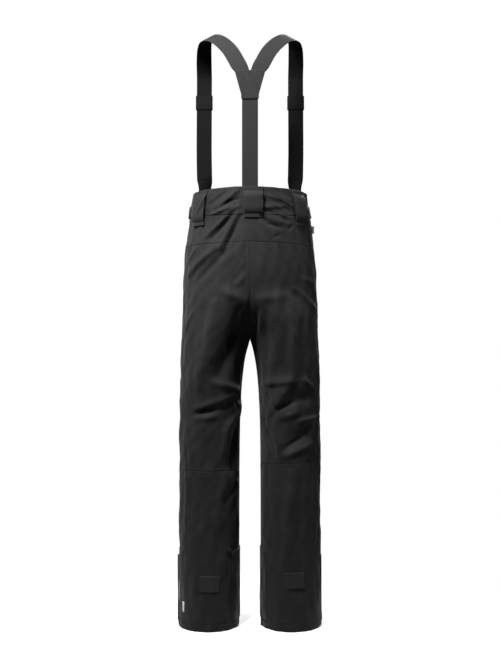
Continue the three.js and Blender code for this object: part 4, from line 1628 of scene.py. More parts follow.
@dataclass
class Cuffs:
    """What is sewn to the lower legs: guards, tabs, flaps, the gaiters inside, and a blank tag."""

    room: Workroom
    stitches: Stitches
    laid_on: float = 0.35
    guard_top: float = -860.0
    guard_width: float = 116.0
    guard_slant: float = 8.0
    guard_cloth: float = 1.2
    tab_size: tuple[float, float] = (47.0, 38.0)
    tab_cloth: float = 1.6
    tab_u: dict[Side, float] = field(default_factory=lambda: {Side.RIGHT: -0.47, Side.LEFT: -0.517})
    tab_z: dict[Side, float] = field(default_factory=lambda: {Side.RIGHT: -930.0, Side.LEFT: -938.0})
    flap_width: float = 14.0
    flap_top: float = -884.0
    flap_u: float = 0.022
    flap_stand: dict[Side, float] = field(default_factory=lambda: {Side.RIGHT: 0.4, Side.LEFT: 4.0})
    gaiter_top: float = -884.0
    gaiter_foot: float = 16.0
    gaiter_inset: float = 22.0
    gaiter_cloth: float = 1.4
    gaiter_flat: float = 460.0
    flap_cloth: float = 1.4
    tag_size: tuple[float, float] = (8.0, 25.0)
    tag_foot: float = -1012.5
    tag_u: float = -0.2

    def build(self) -> None:
        """Makes them for both legs."""
        for side in Side:
            self.guard(side)
            self.tab(side)
            self.flap(side)
            self.gaiter(side)
        self.tag()

    def guard(self, side: Side) -> None:
        """The scuff guard: a shield over the inseam whose top edge falls away on both sides.

        Args:
            side: the leg.
        """
        room, pattern, word = self.room, self.room.pattern, side.word
        foot = pattern.hem + pattern.hem_band + 2
        per_u = pattern.per_u(-0.99, foot)
        share = self.guard_width / 2 / per_u
        d = (edge_steps(self.guard_width, 3.2) / self.guard_width * 2 - 1) * share
        u = np.where(d < 0, 1 + d, -1 + d)
        u = np.clip(u, -1, 1)
        stations = np.stack([np.full(len(u), float(side.value)), u], -1)
        top = lambda u: self.guard_top - self.guard_slant * (1 - np.abs(u)) / share
        room.cloth_piece(
            f"{word}_guard", stations, top, lambda u: foot + 0 * u, self.guard_cloth, Body.LOWER_LEG, side,
            [f"{word}_scuff_guard"], room.finish.guard, slot="guard", off=self.laid_on + self.guard_cloth + 0.4,
            radius=0.9, pucker=0.25, fall=40.0,
        )
        off = self.laid_on + self.guard_cloth + 0.45
        for inset in (4.0, 9.0):
            for low, high in ((1 - share + inset / per_u, 0.999), (-0.999, -1 + share - inset / per_u)):
                u = np.linspace(low, high, 120)
                self.stitches.add(f"{word}_leg", side.value, u, top(u) - inset, off)
            for at in (1 - share + inset / per_u, -1 + share - inset / per_u):
                z = np.linspace(float(top(at)) - inset, foot + 3, 120)
                self.stitches.add(f"{word}_leg", side.value, at, z, off)

    def tab(self, side: Side) -> None:
        """The cuff tab: a patch with a folded edge and rows of stitches; the fastener under it is not made.

        Args:
            side: the leg.
        """
        room, word = self.room, side.word
        (width, height), cloth = self.tab_size, self.tab_cloth
        u, z = self.tab_u[side], self.tab_z[side]
        off = self.laid_on + cloth / 2
        line = [(z - height / 2 + k * height / 4, off + 0.5 * math.sin(k * math.pi / 4)) for k in range(5)]
        solid = room.strip(side, u, width, line, cloth, columns=18, rows=18)
        cloths = [room.finish.guard, room.finish.lining]
        room.trim(f"{word}_tab", solid, cloths, Body.LOWER_LEG, "shell", [f"{word}_cuff_tab"], side)
        self.box_stitch(side, u, z, width - 7, height - 7, self.laid_on + cloth + 0.2)
        if side is Side.LEFT:
            self.mark(side, u, width * 0.18, z, height - 8, self.laid_on + cloth + 0.2)

    def box_stitch(self, side: Side, u: float, z: float, width: float, height: float, off: float) -> None:
        """Stitches round a rectangle.

        Args:
            side: the leg.
            u: middle, round the body.
            z: middle height.
            width: between the upright rows.
            height: between the level rows.
            off: how far above the surface they lie.
        """
        per_u = self.room.pattern.per_u(u, z)
        half, key = width / 2 / per_u, f"{side.word}_leg"
        for level in (z - height / 2, z + height / 2):
            self.stitches.add(key, side.value, np.linspace(u - half, u + half, 60), level, off)
        for at in (u - half, u + half):
            self.stitches.add(key, side.value, at, np.linspace(z - height / 2, z + height / 2, 60), off)

    def mark(self, side: Side, u: float, across: float, z: float, height: float, off: float) -> None:
        """One upright row of stitches at a distance from u.

        Args:
            side: the leg.
            u: place round the body.
            across: the distance.
            z: middle height.
            height: length of the row.
            off: how far above the surface it lies.
        """
        per_u = self.room.pattern.per_u(u, z)
        rise = np.linspace(z - height / 2, z + height / 2, 60)
        self.stitches.add(f"{side.word}_leg", side.value, u + across / per_u, rise, off)

    def flap(self, side: Side) -> None:
        """The ankle flap: webbing along the outseam, its free edge cut in small teeth.

        Args:
            side: the leg.
        """
        room, pattern, word = self.room, self.room.pattern, side.word
        foot = pattern.hem + 7
        count = 150
        z = np.linspace(self.flap_top, foot, count)
        share = np.linspace(0, 1, 9)[None, :]
        teeth = 1.1 * np.abs(np.sin(z / 1.9))[:, None] * share**3
        across = self.flap_width * (share - 0.5) + teeth
        stand = self.laid_on + self.flap_stand[side] * share
        outer = pattern.beside(side.value, self.flap_u, across, z[:, None], stand + self.flap_cloth)
        inner = pattern.beside(side.value, self.flap_u, across, z[:, None], stand)
        uv = stacked(across, z[:, None])
        solid, webbing = cloth_solid(outer, inner, uv), [room.finish.webbing]
        room.trim(f"{word}_flap", solid, webbing, Body.LOWER_LEG, "webbing", [f"{word}_ankle_flap"], side)

    def gaiter(self, side: Side) -> None:
        """The snow gaiter: a cuff inside the leg that narrows in small pleats towards its elastic foot.

        Args:
            side: the leg.
        """
        room, pattern, word = self.room, self.room.pattern, side.word
        foot, start = pattern.hem + self.gaiter_foot, 4.0 + self.laid_on
        u = np.linspace(-1, 1, 181)[:-1]
        z = np.linspace(self.gaiter_top, foot, 60)[:, None]
        down = (self.gaiter_top - z) / (self.gaiter_top - foot)
        inset = self.gaiter_inset + (start - self.gaiter_inset) * (1 - down) ** 2
        pleats = np.sin(u * 46 + 2 * np.sin(u * 7))[None, :] * smooth(down * 2.5)
        bands = 0.5 * np.sin(z / 1.6) * smooth((foot + 26 - z) / 6)
        deep = inset + 1.2 - pleats - bands
        outer = pattern.skin(side.value, u, z) - pattern.level(side.value, u, z)[2] * deep[..., None]
        inner = outer - pattern.level(side.value, u, z)[2] * self.gaiter_cloth
        uv = stacked(u[None, :] * 240, z)
        solid, knit = cloth_solid(outer, inner, uv, True), [room.finish.knit]
        piece = room.trim(
            f"{word}_gaiter", solid, knit, Body.LOWER_LEG, "gaiter", [f"{word}_snow_gaiter"], side
        )
        length = float(self.gaiter_top - foot) * MM
        self.gaiter_flat * MM

    def tag(self) -> None:
        """The small blank tag at the left ankle."""
        room = self.room
        width, height = self.tag_size
        line = [(self.tag_foot + height * k / 4, 0.75) for k in range(5)]
        solid = room.strip(Side.LEFT, self.tag_u, width, line, 0.8, columns=6, rows=10, roll=0.35)
        label = [room.finish.label]
        room.trim("left_tag", solid, label, Body.LOWER_LEG, "label", ["left_ankle_tag"], Side.LEFT)


@dataclass
class BeltLoops:
    """Five belt loops, sewn down at both ends with bartacks."""

    room: Workroom
    stitches: Stitches
    width: float = 38.0
    centre_width: float = 44.0
    cloth: float = 1.8
    stand: float = 6.5
    foot: float = 9.0

    def build(self) -> None:
        """Makes the centre loop and two at each side."""
        self.loop("centre_loop", "centre_back_belt_loop", Side.RIGHT, -1.0, -68.0, 8.0)
        for side in Side:
            self.loop(f"{side.word}_back_loop", f"{side.word}_back_belt_loop", side, -0.39, -84.0)
            self.loop(f"{side.word}_front_loop", f"{side.word}_front_belt_loop", side, 0.63, -84.0)

    def loop(self, name: str, node: str, side: Side, u: float, bottom: float, shift: float = 0.0) -> None:
        """One loop: flat on the cloth at both ends and standing off between them.

        Args:
            name: the piece's name.
            node: the CAD node.
            side: the side.
            u: place round the body.
            bottom: height of the lower end.
            shift: distance of its middle from u; the centre loop has one.
        """
        room = self.room
        top = float(room.pattern.waist_top(np.array(u))) - 2
        low, high = 1.1 + self.cloth / 2, self.stand + self.cloth / 2
        foot, width = self.foot, self.centre_width if shift else self.width
        line = [
            (bottom, low), (bottom + foot * 0.6, low), (bottom + foot, low + 0.3), (bottom + foot + 4, high - 2.5),
            (bottom + foot + 11, high), ((bottom + top) / 2, high + 0.3), (top - foot - 11, high),
            (top - foot - 4, high - 2.5), (top - foot, low + 0.3), (top - foot * 0.6, low), (top, low),
        ]
        solid = room.strip(side, u, width, line, self.cloth, shift, columns=20, rows=64, roll=0.85)
        room.trim(name, solid, [room.finish.shell, room.finish.lining], Body.PANTS, "shell", [node])
        per_u = room.pattern.per_u(u, bottom)
        ends = [u + (shift + k * (width / 2 - 4)) / per_u for k in (-1, 1)]
        for level in (bottom + 2.5, bottom + 5.0, top - 5.0, top - 2.5):
            self.stitches.add("pants", side.value, np.linspace(*ends, 40), level, self.cloth + 1.2)


@dataclass
class Zip:
    """One zip: a tape, two rows of teeth and a slider with a pull."""

    name: str
    side: Side
    u: float
    top: float
    bottom: float
    slider_top: float
    body: Body
    slider_body: str
    width: float = 26.0
    cloth: float = 1.2
    tooth: float = 1.0
    pitch: float = 1.9

    def build(self, room: Workroom, stitches: Stitches) -> None:
        """Makes the tape with its teeth, and the slider, on a straight line over the surface.

        Args:
            room: the workroom.
            stitches: takes the rows beside the tape.
        """
        pattern = room.pattern
        s = float(self.side.value)
        skin = lambda u, z: pattern.skin(np.array(s), np.array(u), np.array(z))
        middle = pattern.level(np.array(s), np.array(self.u), np.array((self.top + self.bottom) / 2))
        across, out = middle[0], middle[2]
        ends = [skin(self.u, z) for z in (self.top, self.bottom)]
        up = unit(ends[0] - ends[1])
        face = unit(out - up * float(out @ up))
        heights = np.linspace(self.top, self.bottom, 9)
        bulge = max(float((skin(self.u, z) - ends[0]) @ face) for z in heights)
        per_u = pattern.per_u(self.u, self.bottom)
        near = []
        for k in (-1, 1):
            at = self.u + k * self.width / 2 / per_u
            near.append(float((skin(at, self.bottom) - ends[1]) @ face))
        lift = bulge + max(0.0, *near) + 0.35 + self.cloth / 2
        line = np.stack([ends[0] + face * lift, ends[1] + face * lift])
        t = np.linspace(0, 1, 60)[:, None]
        at = line[0] + (line[1] - line[0]) * t
        full = np.broadcast_to
        tape = webbing_solid(at, full(across, at.shape), full(face, at.shape), self.width, self.cloth)
        teeth = self.teeth(line, across, face, up)
        tape.slots = [0] * len(tape.slots)
        teeth.slots = [1] * len(teeth.slots)
        side = self.side if self.body is Body.LOWER_LEG else None
        solid, finishes = joined([tape, teeth]), [room.finish.tape, room.finish.teeth]
        room.trim(self.name, solid, finishes, self.body, "zip", [f"{self.name}_tape"], side)
        key = "pants" if self.body is Body.PANTS else f"{self.side.word}_leg"
        for k in (-1, 1):
            edge = across * k * (self.width / 2 - 3) + face * (self.cloth / 2 + 0.1)
            stitches.add_line(key, line[0] + edge, line[1] + edge, face)
        share = (self.slider_top - self.bottom) / (self.top - self.bottom)
        spot = line[1] + (line[0] - line[1]) * share + face * (self.cloth / 2 + 0.45)
        self.slider(room, spot, across, face, up)

    def teeth(self, line: Array, across: Array, face: Array, up: Array) -> Solid:
        """Two rows of moulded teeth that interlock: boxes a little proud of the tape.

        Args:
            line: upper and lower end.
            across: unit direction across the tape.
            face: unit direction out of it.
            up: unit direction along it.

        Returns:
            The solid.
        """
        length = float(np.linalg.norm(line[0] - line[1]))
        down = np.arange(self.pitch, length - self.pitch, self.pitch / 2)
        row = np.where(np.arange(len(down)) % 2 == 0, 1.0, -1.0)
        middles = line[0] - up * down[:, None] + across * (row * 0.75)[:, None] + face * (self.cloth / 2 + 0.1)
        half = np.array([1.5, 0.5, 0.32])
        signs = np.array([[i, j, k] for i in (-1, 1) for j in (-1, 1) for k in (-1, 1)], float) * half
        corners = signs @ np.stack([across, up, face])
        points = (middles[:, None] + corners[None]).reshape(-1, 3)
        box = np.array([[0, 1, 3, 2], [4, 6, 7, 5], [0, 4, 5, 1], [2, 3, 7, 6], [0, 2, 6, 4], [1, 5, 7, 3]])
        faces = (box[None] + 8 * np.arange(len(down))[:, None, None]).reshape(-1, 4)
        return Solid(points, [faces], np.zeros((len(points), 2)), [0] * len(faces))

    def slider(self, room: Workroom, spot: Array, across: Array, face: Array, up: Array) -> None:
        """The slider: a waisted body with a bridge, and a pull that hangs from it with a corded end.

        Args:
            room: the workroom.
            spot: its top, on the teeth.
            across: unit direction across the tape.
            face: unit direction out of it.
            up: unit direction along it.
        """
        height, depth, width = 13.0, 3.2, 9.0
        middle = spot - up * height / 2
        body = plate(middle, (across, up, face), self.waisted(width, height), depth - 1.0, 0.4)
        lid = self.waisted(width - 1, height - 1.5)
        top_plate = plate(middle + face * (depth - 1.25), (across, up, face), lid, 1.0)
        arch = [(-4.0, 2.6), (-3.2, 4.2), (-1.0, 4.9), (1.6, 4.9), (3.8, 4.0), (4.4, 2.6)]
        path = catmull_rom(np.array([(0, rise, stand) for rise, stand in arch]), 18)
        frame_ = np.stack([across, up, face])
        places = middle + path @ frame_
        way = unit(np.gradient(places, axis=0))
        outward = unit(np.cross(way, across))
        bridge = webbing_solid(places, np.broadcast_to(across, places.shape), outward, 2.6, 1.0)
        eye = middle - up * 4.2 + face * (depth + 0.9)
        pull_axes = (across, up, face)
        pull = plate(eye - up * 9.2, pull_axes, rounded_outline(6.4, 19.0, 4.0), 1.2, 0.3)
        grip = plate(eye - up * 12.6 + face * 1.1, pull_axes, rounded_outline(4.4, 9.0, 3.0), 0.7, 0.3)
        solid = joined([body, top_plate, bridge, pull, grip])
        metal = [room.finish.metal]
        room.trim(f"{self.name}_pull", solid, metal, self.slider_body, "metal", [f"{self.name}_slider"])

    @staticmethod
    def waisted(width: float, height: float) -> Array:
        """A rounded outline drawn in at its lower half, as a slider's plates are.

        Args:
            width: of the whole.
            height: of the whole.

        Returns:
            (32, 2) corners.
        """
        outline = rounded_outline(width, height, 3.6, 32)
        pinch = 1 - 0.22 * smooth((-outline[:, 1] / height * 2 + 0.1) / 1.1)
        return outline * np.stack([pinch, np.ones(len(outline))], -1)


@dataclass
class WaistTrims:
    """The waist adjusters, the closure tab over the fly with its snap, and the blank hip tag."""

    room: Workroom
    tab_z: float = -46.0
    tab_height: float = 28.0
    tab_cloth: float = 1.8
    tab_start: float = 0.3
    tab_span: float = 0.4
    closure_z: float = -40.0
    closure_height: float = 38.0
    snap_profile: tuple[tuple[float, float], ...] = (
        (0, 0.86), (0.12, 0.98), (0.4, 1.0), (0.7, 0.94), (0.85, 0.8), (0.8, 0.66), (0.72, 0.4), (0.7, 0.1),
    )

    def build(self) -> None:
        """Makes them all."""
        for side in Side:
            self.adjuster(side)
        self.closure()
        self.snap()
        self.hip_tag()

    def adjuster(self, side: Side) -> None:
        """A side tab held by hook and loop, its free end rounded; the stitches round its edge are not made.

        Args:
            side: the side.
        """
        room, pattern, word = self.room, self.room.pattern, side.word
        per_u = pattern.per_u(0.0, self.tab_z)
        count = 46
        share = np.linspace(0, 1, count)[None, :]
        end = 1 - np.clip((share - 0.86) / 0.14, 0, 1) ** 2 * 0.42
        v = np.concatenate([[-1, -0.97, -0.9], np.linspace(-0.8, 0.8, 9), [0.9, 0.97, 1]])[:, None]
        z = self.tab_z + v * self.tab_height / 2 * end
        u = self.tab_start - self.tab_span * share + 0 * z
        across_gap = np.minimum(share, 1 - share) * self.tab_span * per_u
        gap = np.minimum((1 - np.abs(v)) * self.tab_height / 2 + 0 * z, across_gap + 0 * z)
        crown = 0.5 * np.sin(np.pi * share) + 0 * z
        outer = pattern.point(side.value, u, z, 0.75 + self.tab_cloth + crown - edge_roll(gap, 0.8))
        inner = pattern.point(side.value, u, z, 0.75 + crown * 0.4)
        uv = stacked(share * self.tab_span * per_u, z)
        cloths, node = [room.finish.shell, room.finish.lining], f"{word}_adjuster_tab"
        room.trim(f"{word}_tab_strap", cloth_solid(outer, inner, uv), cloths, node, "shell", [node])

    def closure(self) -> None:
        """The closure tab, sewn at the wearer's left end and rounded at the other."""
        room = self.room
        depth = float(along(room.pattern.depth_front, np.array(self.closure_z)))
        stops = np.array([[-24, 1.55], [-19, 1.55], [-14, 2.6], [-9, 3.6], [0, 3.7], [12, 3.7], [22, 3.7], [27, 3.6]])
        curve = catmull_rom(stops, 56)
        end = 1 - np.clip((curve[:, 0] - 17) / 10, 0, 1) ** 2 * 0.45
        v = np.concatenate([[-1, -0.98, -0.93], np.linspace(-0.84, 0.84, 13), [0.93, 0.98, 1]])
        z = self.closure_z + v[None, :] * self.closure_height / 2 * end[:, None]
        gap = np.minimum((1 - np.abs(v))[None, :] * self.closure_height / 2, 5.0 + 0 * curve[:, :1])
        half = 1.2 - edge_roll(gap + 0 * z, 0.9) * 0.9
        faces = [stacked(curve[:, :1], depth + curve[:, 1:] + k * half, z) for k in (1, -1)]
        uv = stacked(z, curve[:, :1])
        cloths = [room.finish.shell, room.finish.lining]
        room.trim("closure_flap", cloth_solid(*faces, uv), cloths, "closure_tab", "shell", ["closure_tab"])

    def snap(self) -> None:
        """The snap's stud on the waistband and its domed cap on the tab."""
        for name, node, body in (("stud", "snap_stud", "pants"), ("cap", "snap_cap", "closure_tab")):
            low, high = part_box(node)
            at = np.array([(low[0] + high[0]) / 2, low[1], (low[2] + high[2]) / 2]) / MM
            radius, thick = (high[0] - low[0]) / 2 / MM, (high[1] - low[1]) / MM
            profile = [(h * thick, r * radius) for h, r in self.snap_profile]
            solid = turned(at, np.array([0.0, 1.0, 0.0]), profile)
            self.room.trim(f"snap_{name}_disc", solid, [self.room.finish.metal], body, "metal", [node])

    def hip_tag(self) -> None:
        """A blank folded tag standing out of the outseam."""
        low, high = (np.array(corner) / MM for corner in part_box("right_hip_tag"))
        depth = high[0] - low[0]
        y = (low[1] + high[1]) / 2
        t = np.linspace(0, np.pi, 15)
        fold = np.stack([np.sin(t) ** 0.6 * depth, np.cos(t) * 0.5], -1)
        z = np.linspace(low[2], high[2], 9)
        outer = stacked(low[0] + fold[None, :, 0], y + fold[None, :, 1], z[:, None])
        inner = stacked(low[0] + fold[None, :, 0] * 0.93 - 0.1, y + fold[None, :, 1] * 0.55, z[:, None])
        uv = stacked(t[None, :] * depth / 2, z[:, None])
        label = [self.room.finish.label]
        self.room.trim("hip_tag", cloth_solid(outer, inner, uv), label, "pants", "label", ["right_hip_tag"])


@dataclass
class Braces:
    """The elastic braces: a single strap behind, a Y patch, and two straps over the shoulders."""

    room: Workroom
    stitches: Stitches
    width: float = 38.0
    cloth: float = 2.0
    foot: tuple[float, float] = (-101.8, -26.0)
    lean: float = 3.3
    top: float = 252.0
    ring_u: float = 0.37
    ring_lift: float = 6.0
    wire: float = 2.6
    opening: float = 6.0
    front_top: tuple[float, float] = (88.0, 300.0)
    front_bottom: tuple[float, float] = (71.0, 130.0)
    layer_gap: float = 3.1
    doubled_top: float = 257.0
    patch_ends: tuple[float, float] = (213.0, 282.0)
    slide: float = 239.0
    merge: float = 30.0
    patch_neck: float = 224.0
    patch_half: tuple[float, float] = (21.0, 37.0)
    tab_width: float = 30.0
    tab_cloth: float = 1.8
    tab_foot: float = -29.0
    grips: tuple[float, ...] = (-13.0, -9.4, 9.4, 13.0)

    @property
    def back(self) -> float:
        """Depth of the back strap's top end."""
        return self.foot[0] + self.lean

    @property
    def turn(self) -> float:
        """Radius of the webbing's turn round the ring."""
        return self.wire * 0.71 + 0.35 + self.cloth / 2

    def build(self) -> None:
        """Makes every piece of the braces."""
        self.back_strap()
        self.patch()
        for side in Side:
            self.front_strap(side)
            self.ring(side)
            self.adjuster(side)

    def add(
        self, name: str, solid: Solid, body: str, node: str, slot: str, material: bpy.types.Material,
        behind: bpy.types.Material | None = None,
    ) -> None:
        """Makes one piece and attaches it to its body."""
        self.room.trim(name, solid, [material, behind] if behind else [material], body, slot, [node])

    def back_strap(self) -> None:
        """One length of webbing from inside the waistband to under the patch."""
        count = 90
        share = np.linspace(0, 1, count)[:, None]
        low, high = np.array([0, self.foot[0], self.foot[1]]), np.array([0, self.back, self.top])
        at = low + (high - low) * share
        up = unit(high - low)
        across = np.broadcast_to(np.array([1.0, 0, 0]), at.shape)
        out = np.broadcast_to(unit(np.array([0.0, -up[2], up[1]])), at.shape)
        solid = webbing_solid(at, across, out, self.width, self.cloth)
        self.add("centre_brace", solid, "pants", "back_strap", "webbing", self.room.finish.webbing)
        for z in (12.0, 16.0):
            spot = low + (high - low) * (z + 26) / (self.top + 26) + out[0] * (self.cloth / 2 + 0.1)
            self.stitches.add_line("pants", spot - across[0] * 17, spot + across[0] * 17, out[0])

    def patch(self) -> None:
        """The Y patch: cloth widening from one strap to two, with rows of stitches along it."""
        up = unit(np.array([0, self.lean, self.top - self.foot[1]]))
        out = np.array([0.0, -up[2], up[1]])
        middle = np.array([0, self.back, self.top]) + out * (self.cloth / 2 + 0.35 + 0.1)
        bottom, top = self.patch_ends
        z = np.linspace(bottom, top, 44)
        narrow, wide = self.patch_half
        half = np.interp(z, [bottom, self.patch_neck, top], [narrow, narrow, wide])
        half = half - 2.0 * np.clip(1 - np.minimum(z - bottom, top - z) / 2.0, 0, 1) ** 2
        v = np.concatenate([[-1, -0.985, -0.95], np.linspace(-0.88, 0.88, 25), [0.95, 0.985, 1]])
        x = v[None, :] * half[:, None]
        gap = np.minimum((1 - np.abs(v))[None, :] * half[:, None], np.minimum(z - bottom, top - z)[:, None])
        folds = 0.55 * np.exp(-(((np.abs(x + 2) - 9.5) / 1.3) ** 2)) + 0.3 * np.exp(-(((x - 19) / 3.0) ** 2))
        rise = 2.0 - edge_roll(gap, 0.9) - folds * smooth(gap / 3)
        base = middle + up * ((z - self.top) / up[2])[:, None]
        place = lambda h: base[:, None, :] + x[..., None] * np.array([1.0, 0, 0]) + h[..., None] * out
        uv = stacked(x, z[:, None])
        solid = cloth_solid(place(rise), place(np.zeros_like(x)), uv)
        self.add("brace_patch", solid, "pants", "y_patch", "webbing", self.room.finish.patch)
        spot = lambda x, z: middle + up * ((z - self.top) / up[2]) + np.array([x, 0, 0]) + out * 2.05
        lines = [
            ((-18, 216), (18, 216)), ((-33, 279), (33, 279)), ((-18, 216), (-18, 224)), ((18, 216), (18, 224)),
            ((-18, 224), (-33.5, 279)), ((18, 224), (33.5, 279)), ((-8.5, 218), (-8.5, 278)), ((8.5, 218), (8.5, 278)),
        ]
        for a, b in lines:
            self.stitches.add_line("pants", spot(*a), spot(*b), out)

    def ring_frame(self, side: Side) -> tuple[Array, Array, Array]:
        """Middle of the ring's lower edge, across and outwards.

        Args:
            side: the side.

        Returns:
            The three.
        """
        pattern, s = self.room.pattern, np.array(float(side.value))
        u = np.array(self.ring_u)
        z = pattern.waist_top(u) + self.ring_lift
        across, _, out = pattern.level(s, u, z)
        return pattern.skin(s, u, z) - out * 2.5, across, out

    def front_line(self, side: Side) -> tuple[Array, Array]:
        """Ends of the straight part of a front strap, upper first.

        Args:
            side: the side.

        Returns:
            The two ends.
        """
        x = abs(float(self.ring_frame(side)[0][0])) + 1.7
        top, bottom = self.front_top, self.front_bottom
        return np.array([side.value * x, *top]), np.array([side.value * x, *bottom])

    def over_shoulder(self, side: Side) -> tuple[Array, Array, Array]:
        """Frames from under the patch over the shoulder to the straight part in front.

        Args:
            side: the side.

        Returns:
            Places, directions across and directions outwards.
        """
        s, back = side.value, self.back
        top, bottom = self.front_line(side)
        inner = (self.width + 0.36) / 2 + 0.9
        spread = top[0] * s - inner
        stops = [
            (0, back + 0.3, 262, (0, -1, 0)), (0.016, back + 0.8, 282, (0, -1, 0.05)),
            (0.12, back + 6, 304, (0, -1, 0.2)), (0.31, back + 20, 336, (s * 0.1, -0.85, 0.5)),
            (0.63, back + 53, 369, (s * 0.25, -0.55, 0.8)), (0.88, back + 92, 380, (s * 0.5, -0.12, 0.86)),
            (0.97, back + 130, 371, (s * 0.42, 0.45, 0.8)), (1.0, back + 164, 342, (s * 0.16, 0.85, 0.5)),
        ]
        places = [np.array([s * (inner + spread * share), y, z]) for share, y, z, _ in stops] + [top, bottom]
        facing = np.array([stop[3] for stop in stops] + [(0, 1, 0.1), (0, 1, 0.1)], float)
        full, last = 145, len(places) - 1
        curve = catmull_rom(np.array(places), full, tangents=True)
        keep = slice(0, 1 + (full - 1) * (last - 1) // last)
        share = np.linspace(0, last, full)[keep]
        i = np.minimum(share.astype(int), last - 1)
        f = facing[i] + (facing[i + 1] - facing[i]) * (share - i)[:, None]
        at, way = curve[0][keep], curve[1][keep]
        across = unit(np.cross(f, way))
        return at, across, unit(np.cross(way, across))

    def front(self, side: Side, layer: int, z: Array) -> tuple[Array, Array, Array, Array]:
        """Frames down the front at heights z: the outer layer, 1, or the doubled one, -1.

        Args:
            side: the side.
            layer: which of the two.
            z: heights.

        Returns:
            Places, then directions across, outwards and along.
        """
        ring, _, ring_out = self.ring_frame(side)
        foot = ring + np.array([0, 0, self.opening + self.wire])
        top, bottom = self.front_line(side)
        down = unit(bottom - top)
        third = np.linalg.norm(bottom - foot) / 3
        p = [bottom, bottom + down * third, foot + np.array([0, 0, third]), foot]
        t = np.clip((bottom[2] - z) / (bottom[2] - foot[2]), 0, 1)[:, None]
        at = p[0] * (1 - t) ** 3 + 3 * p[1] * t * (1 - t) ** 2 + 3 * p[2] * t * t * (1 - t) + p[3] * t**3
        way = 3 * ((p[1] - p[0]) * (1 - t) ** 2 + 2 * (p[2] - p[1]) * t * (1 - t) + (p[3] - p[2]) * t * t)
        at = np.where(z[:, None] > bottom[2], top + down * ((z - top[2]) / down[2])[:, None], at)
        way = unit(np.where(t > 0, way, down))
        facing = np.array([0, 1.0, 0]) + (ring_out - np.array([0, 1.0, 0])) * smooth((t - 0.6) / 0.4)
        across = unit(np.cross(facing, way))
        out = unit(np.cross(way, across))
        near = np.maximum(0, 1 - (z - foot[2]) / self.merge) ** 2
        off = near * self.turn if layer > 0 else -self.layer_gap + (self.layer_gap - self.turn) * near
        return at + out * off[:, None], across, out, way

    def under_patch(self, side: Side, at: Array) -> tuple[Array, Array]:
        """Centres and widths of a strap whose end is trimmed to the patch's slanted side.

        Args:
            side: the side.
            at: the strap's centreline.

        Returns:
            The two, for each place.
        """
        x, z = at[:, 0] * side.value, at[:, 2]
        inner = x - self.width / 2
        limit = np.interp(z, [222, 282, 304], [20.5, 36.4, 52.0])
        trimmed = (at[:, 1] < -60) & (z < 304)
        width = np.where(trimmed, np.minimum(self.width, limit - inner), self.width)
        return at + ((inner + width / 2 - x) * side.value)[:, None] * np.array([1.0, 0, 0]), width

    def front_strap(self, side: Side) -> None:
        """The long webbing over the shoulder and round the ring, and the layer that comes back up.

        Args:
            side: the side.
        """
        ring, _, ring_out = self.ring_frame(side)
        foot = ring + np.array([0, 0, self.opening + self.wire])
        upper = self.over_shoulder(side)
        straight = self.front(side, 1, np.linspace(280, 122, 24))[:3]
        lower = self.front(side, 1, np.linspace(120, foot[2] + 1, 44))[:3]
        arc = (np.linspace(0.08, 0.92, 11) * np.pi)[:, None]
        out = ring_out * np.cos(arc) - np.array([0, 0, 1.0]) * np.sin(arc)
        bend = (foot + out * self.turn, np.broadcast_to(lower[1][-1], out.shape), out)
        join = foot[2] + self.merge
        rising = self.front(side, -1, np.linspace(foot[2] + 1, join, 12))[:3]
        rising = (rising[0], rising[1], -rising[2])
        at, across, out = (np.concatenate(parts) for parts in zip(upper, straight, lower, bend, rising))
        at, width = self.under_patch(side, at)
        # Material number 1, the darker copy of the webbing, is painted shade: it is on the back face, the one seen from
        # behind on the front straps, and on both faces of the bend round the ring and of the layer that rises from it.
        solid = webbing_solid(at, across, out, width, self.cloth, len(arc) + len(rising[0]))
        webbing, webbing_painted_shade = self.room.finish.webbing, self.room.finish.webbing_painted_shade
        self.add(f"{side.word}_brace", solid, "pants", f"{side.word}_shoulder_strap", "webbing", webbing, webbing_painted_shade)
        z = np.linspace(join + 0.72, self.doubled_top, 80)
        at, across, out, _ = self.front(side, -1, z)
        # The returning layer also wears the painted-shade copy of the webbing on its back face.
        piece = make_object(
            f"{side.word}_brace_return", webbing_solid(at, across, out, self.width, self.cloth), [webbing, webbing_painted_shade]
        )
        start, end = (0, 0, (join + 0.72) * MM), (0, 0, self.doubled_top * MM)
        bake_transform(piece)
        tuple(start)
        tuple(end)
        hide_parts(f"{side.word}_strap_return")

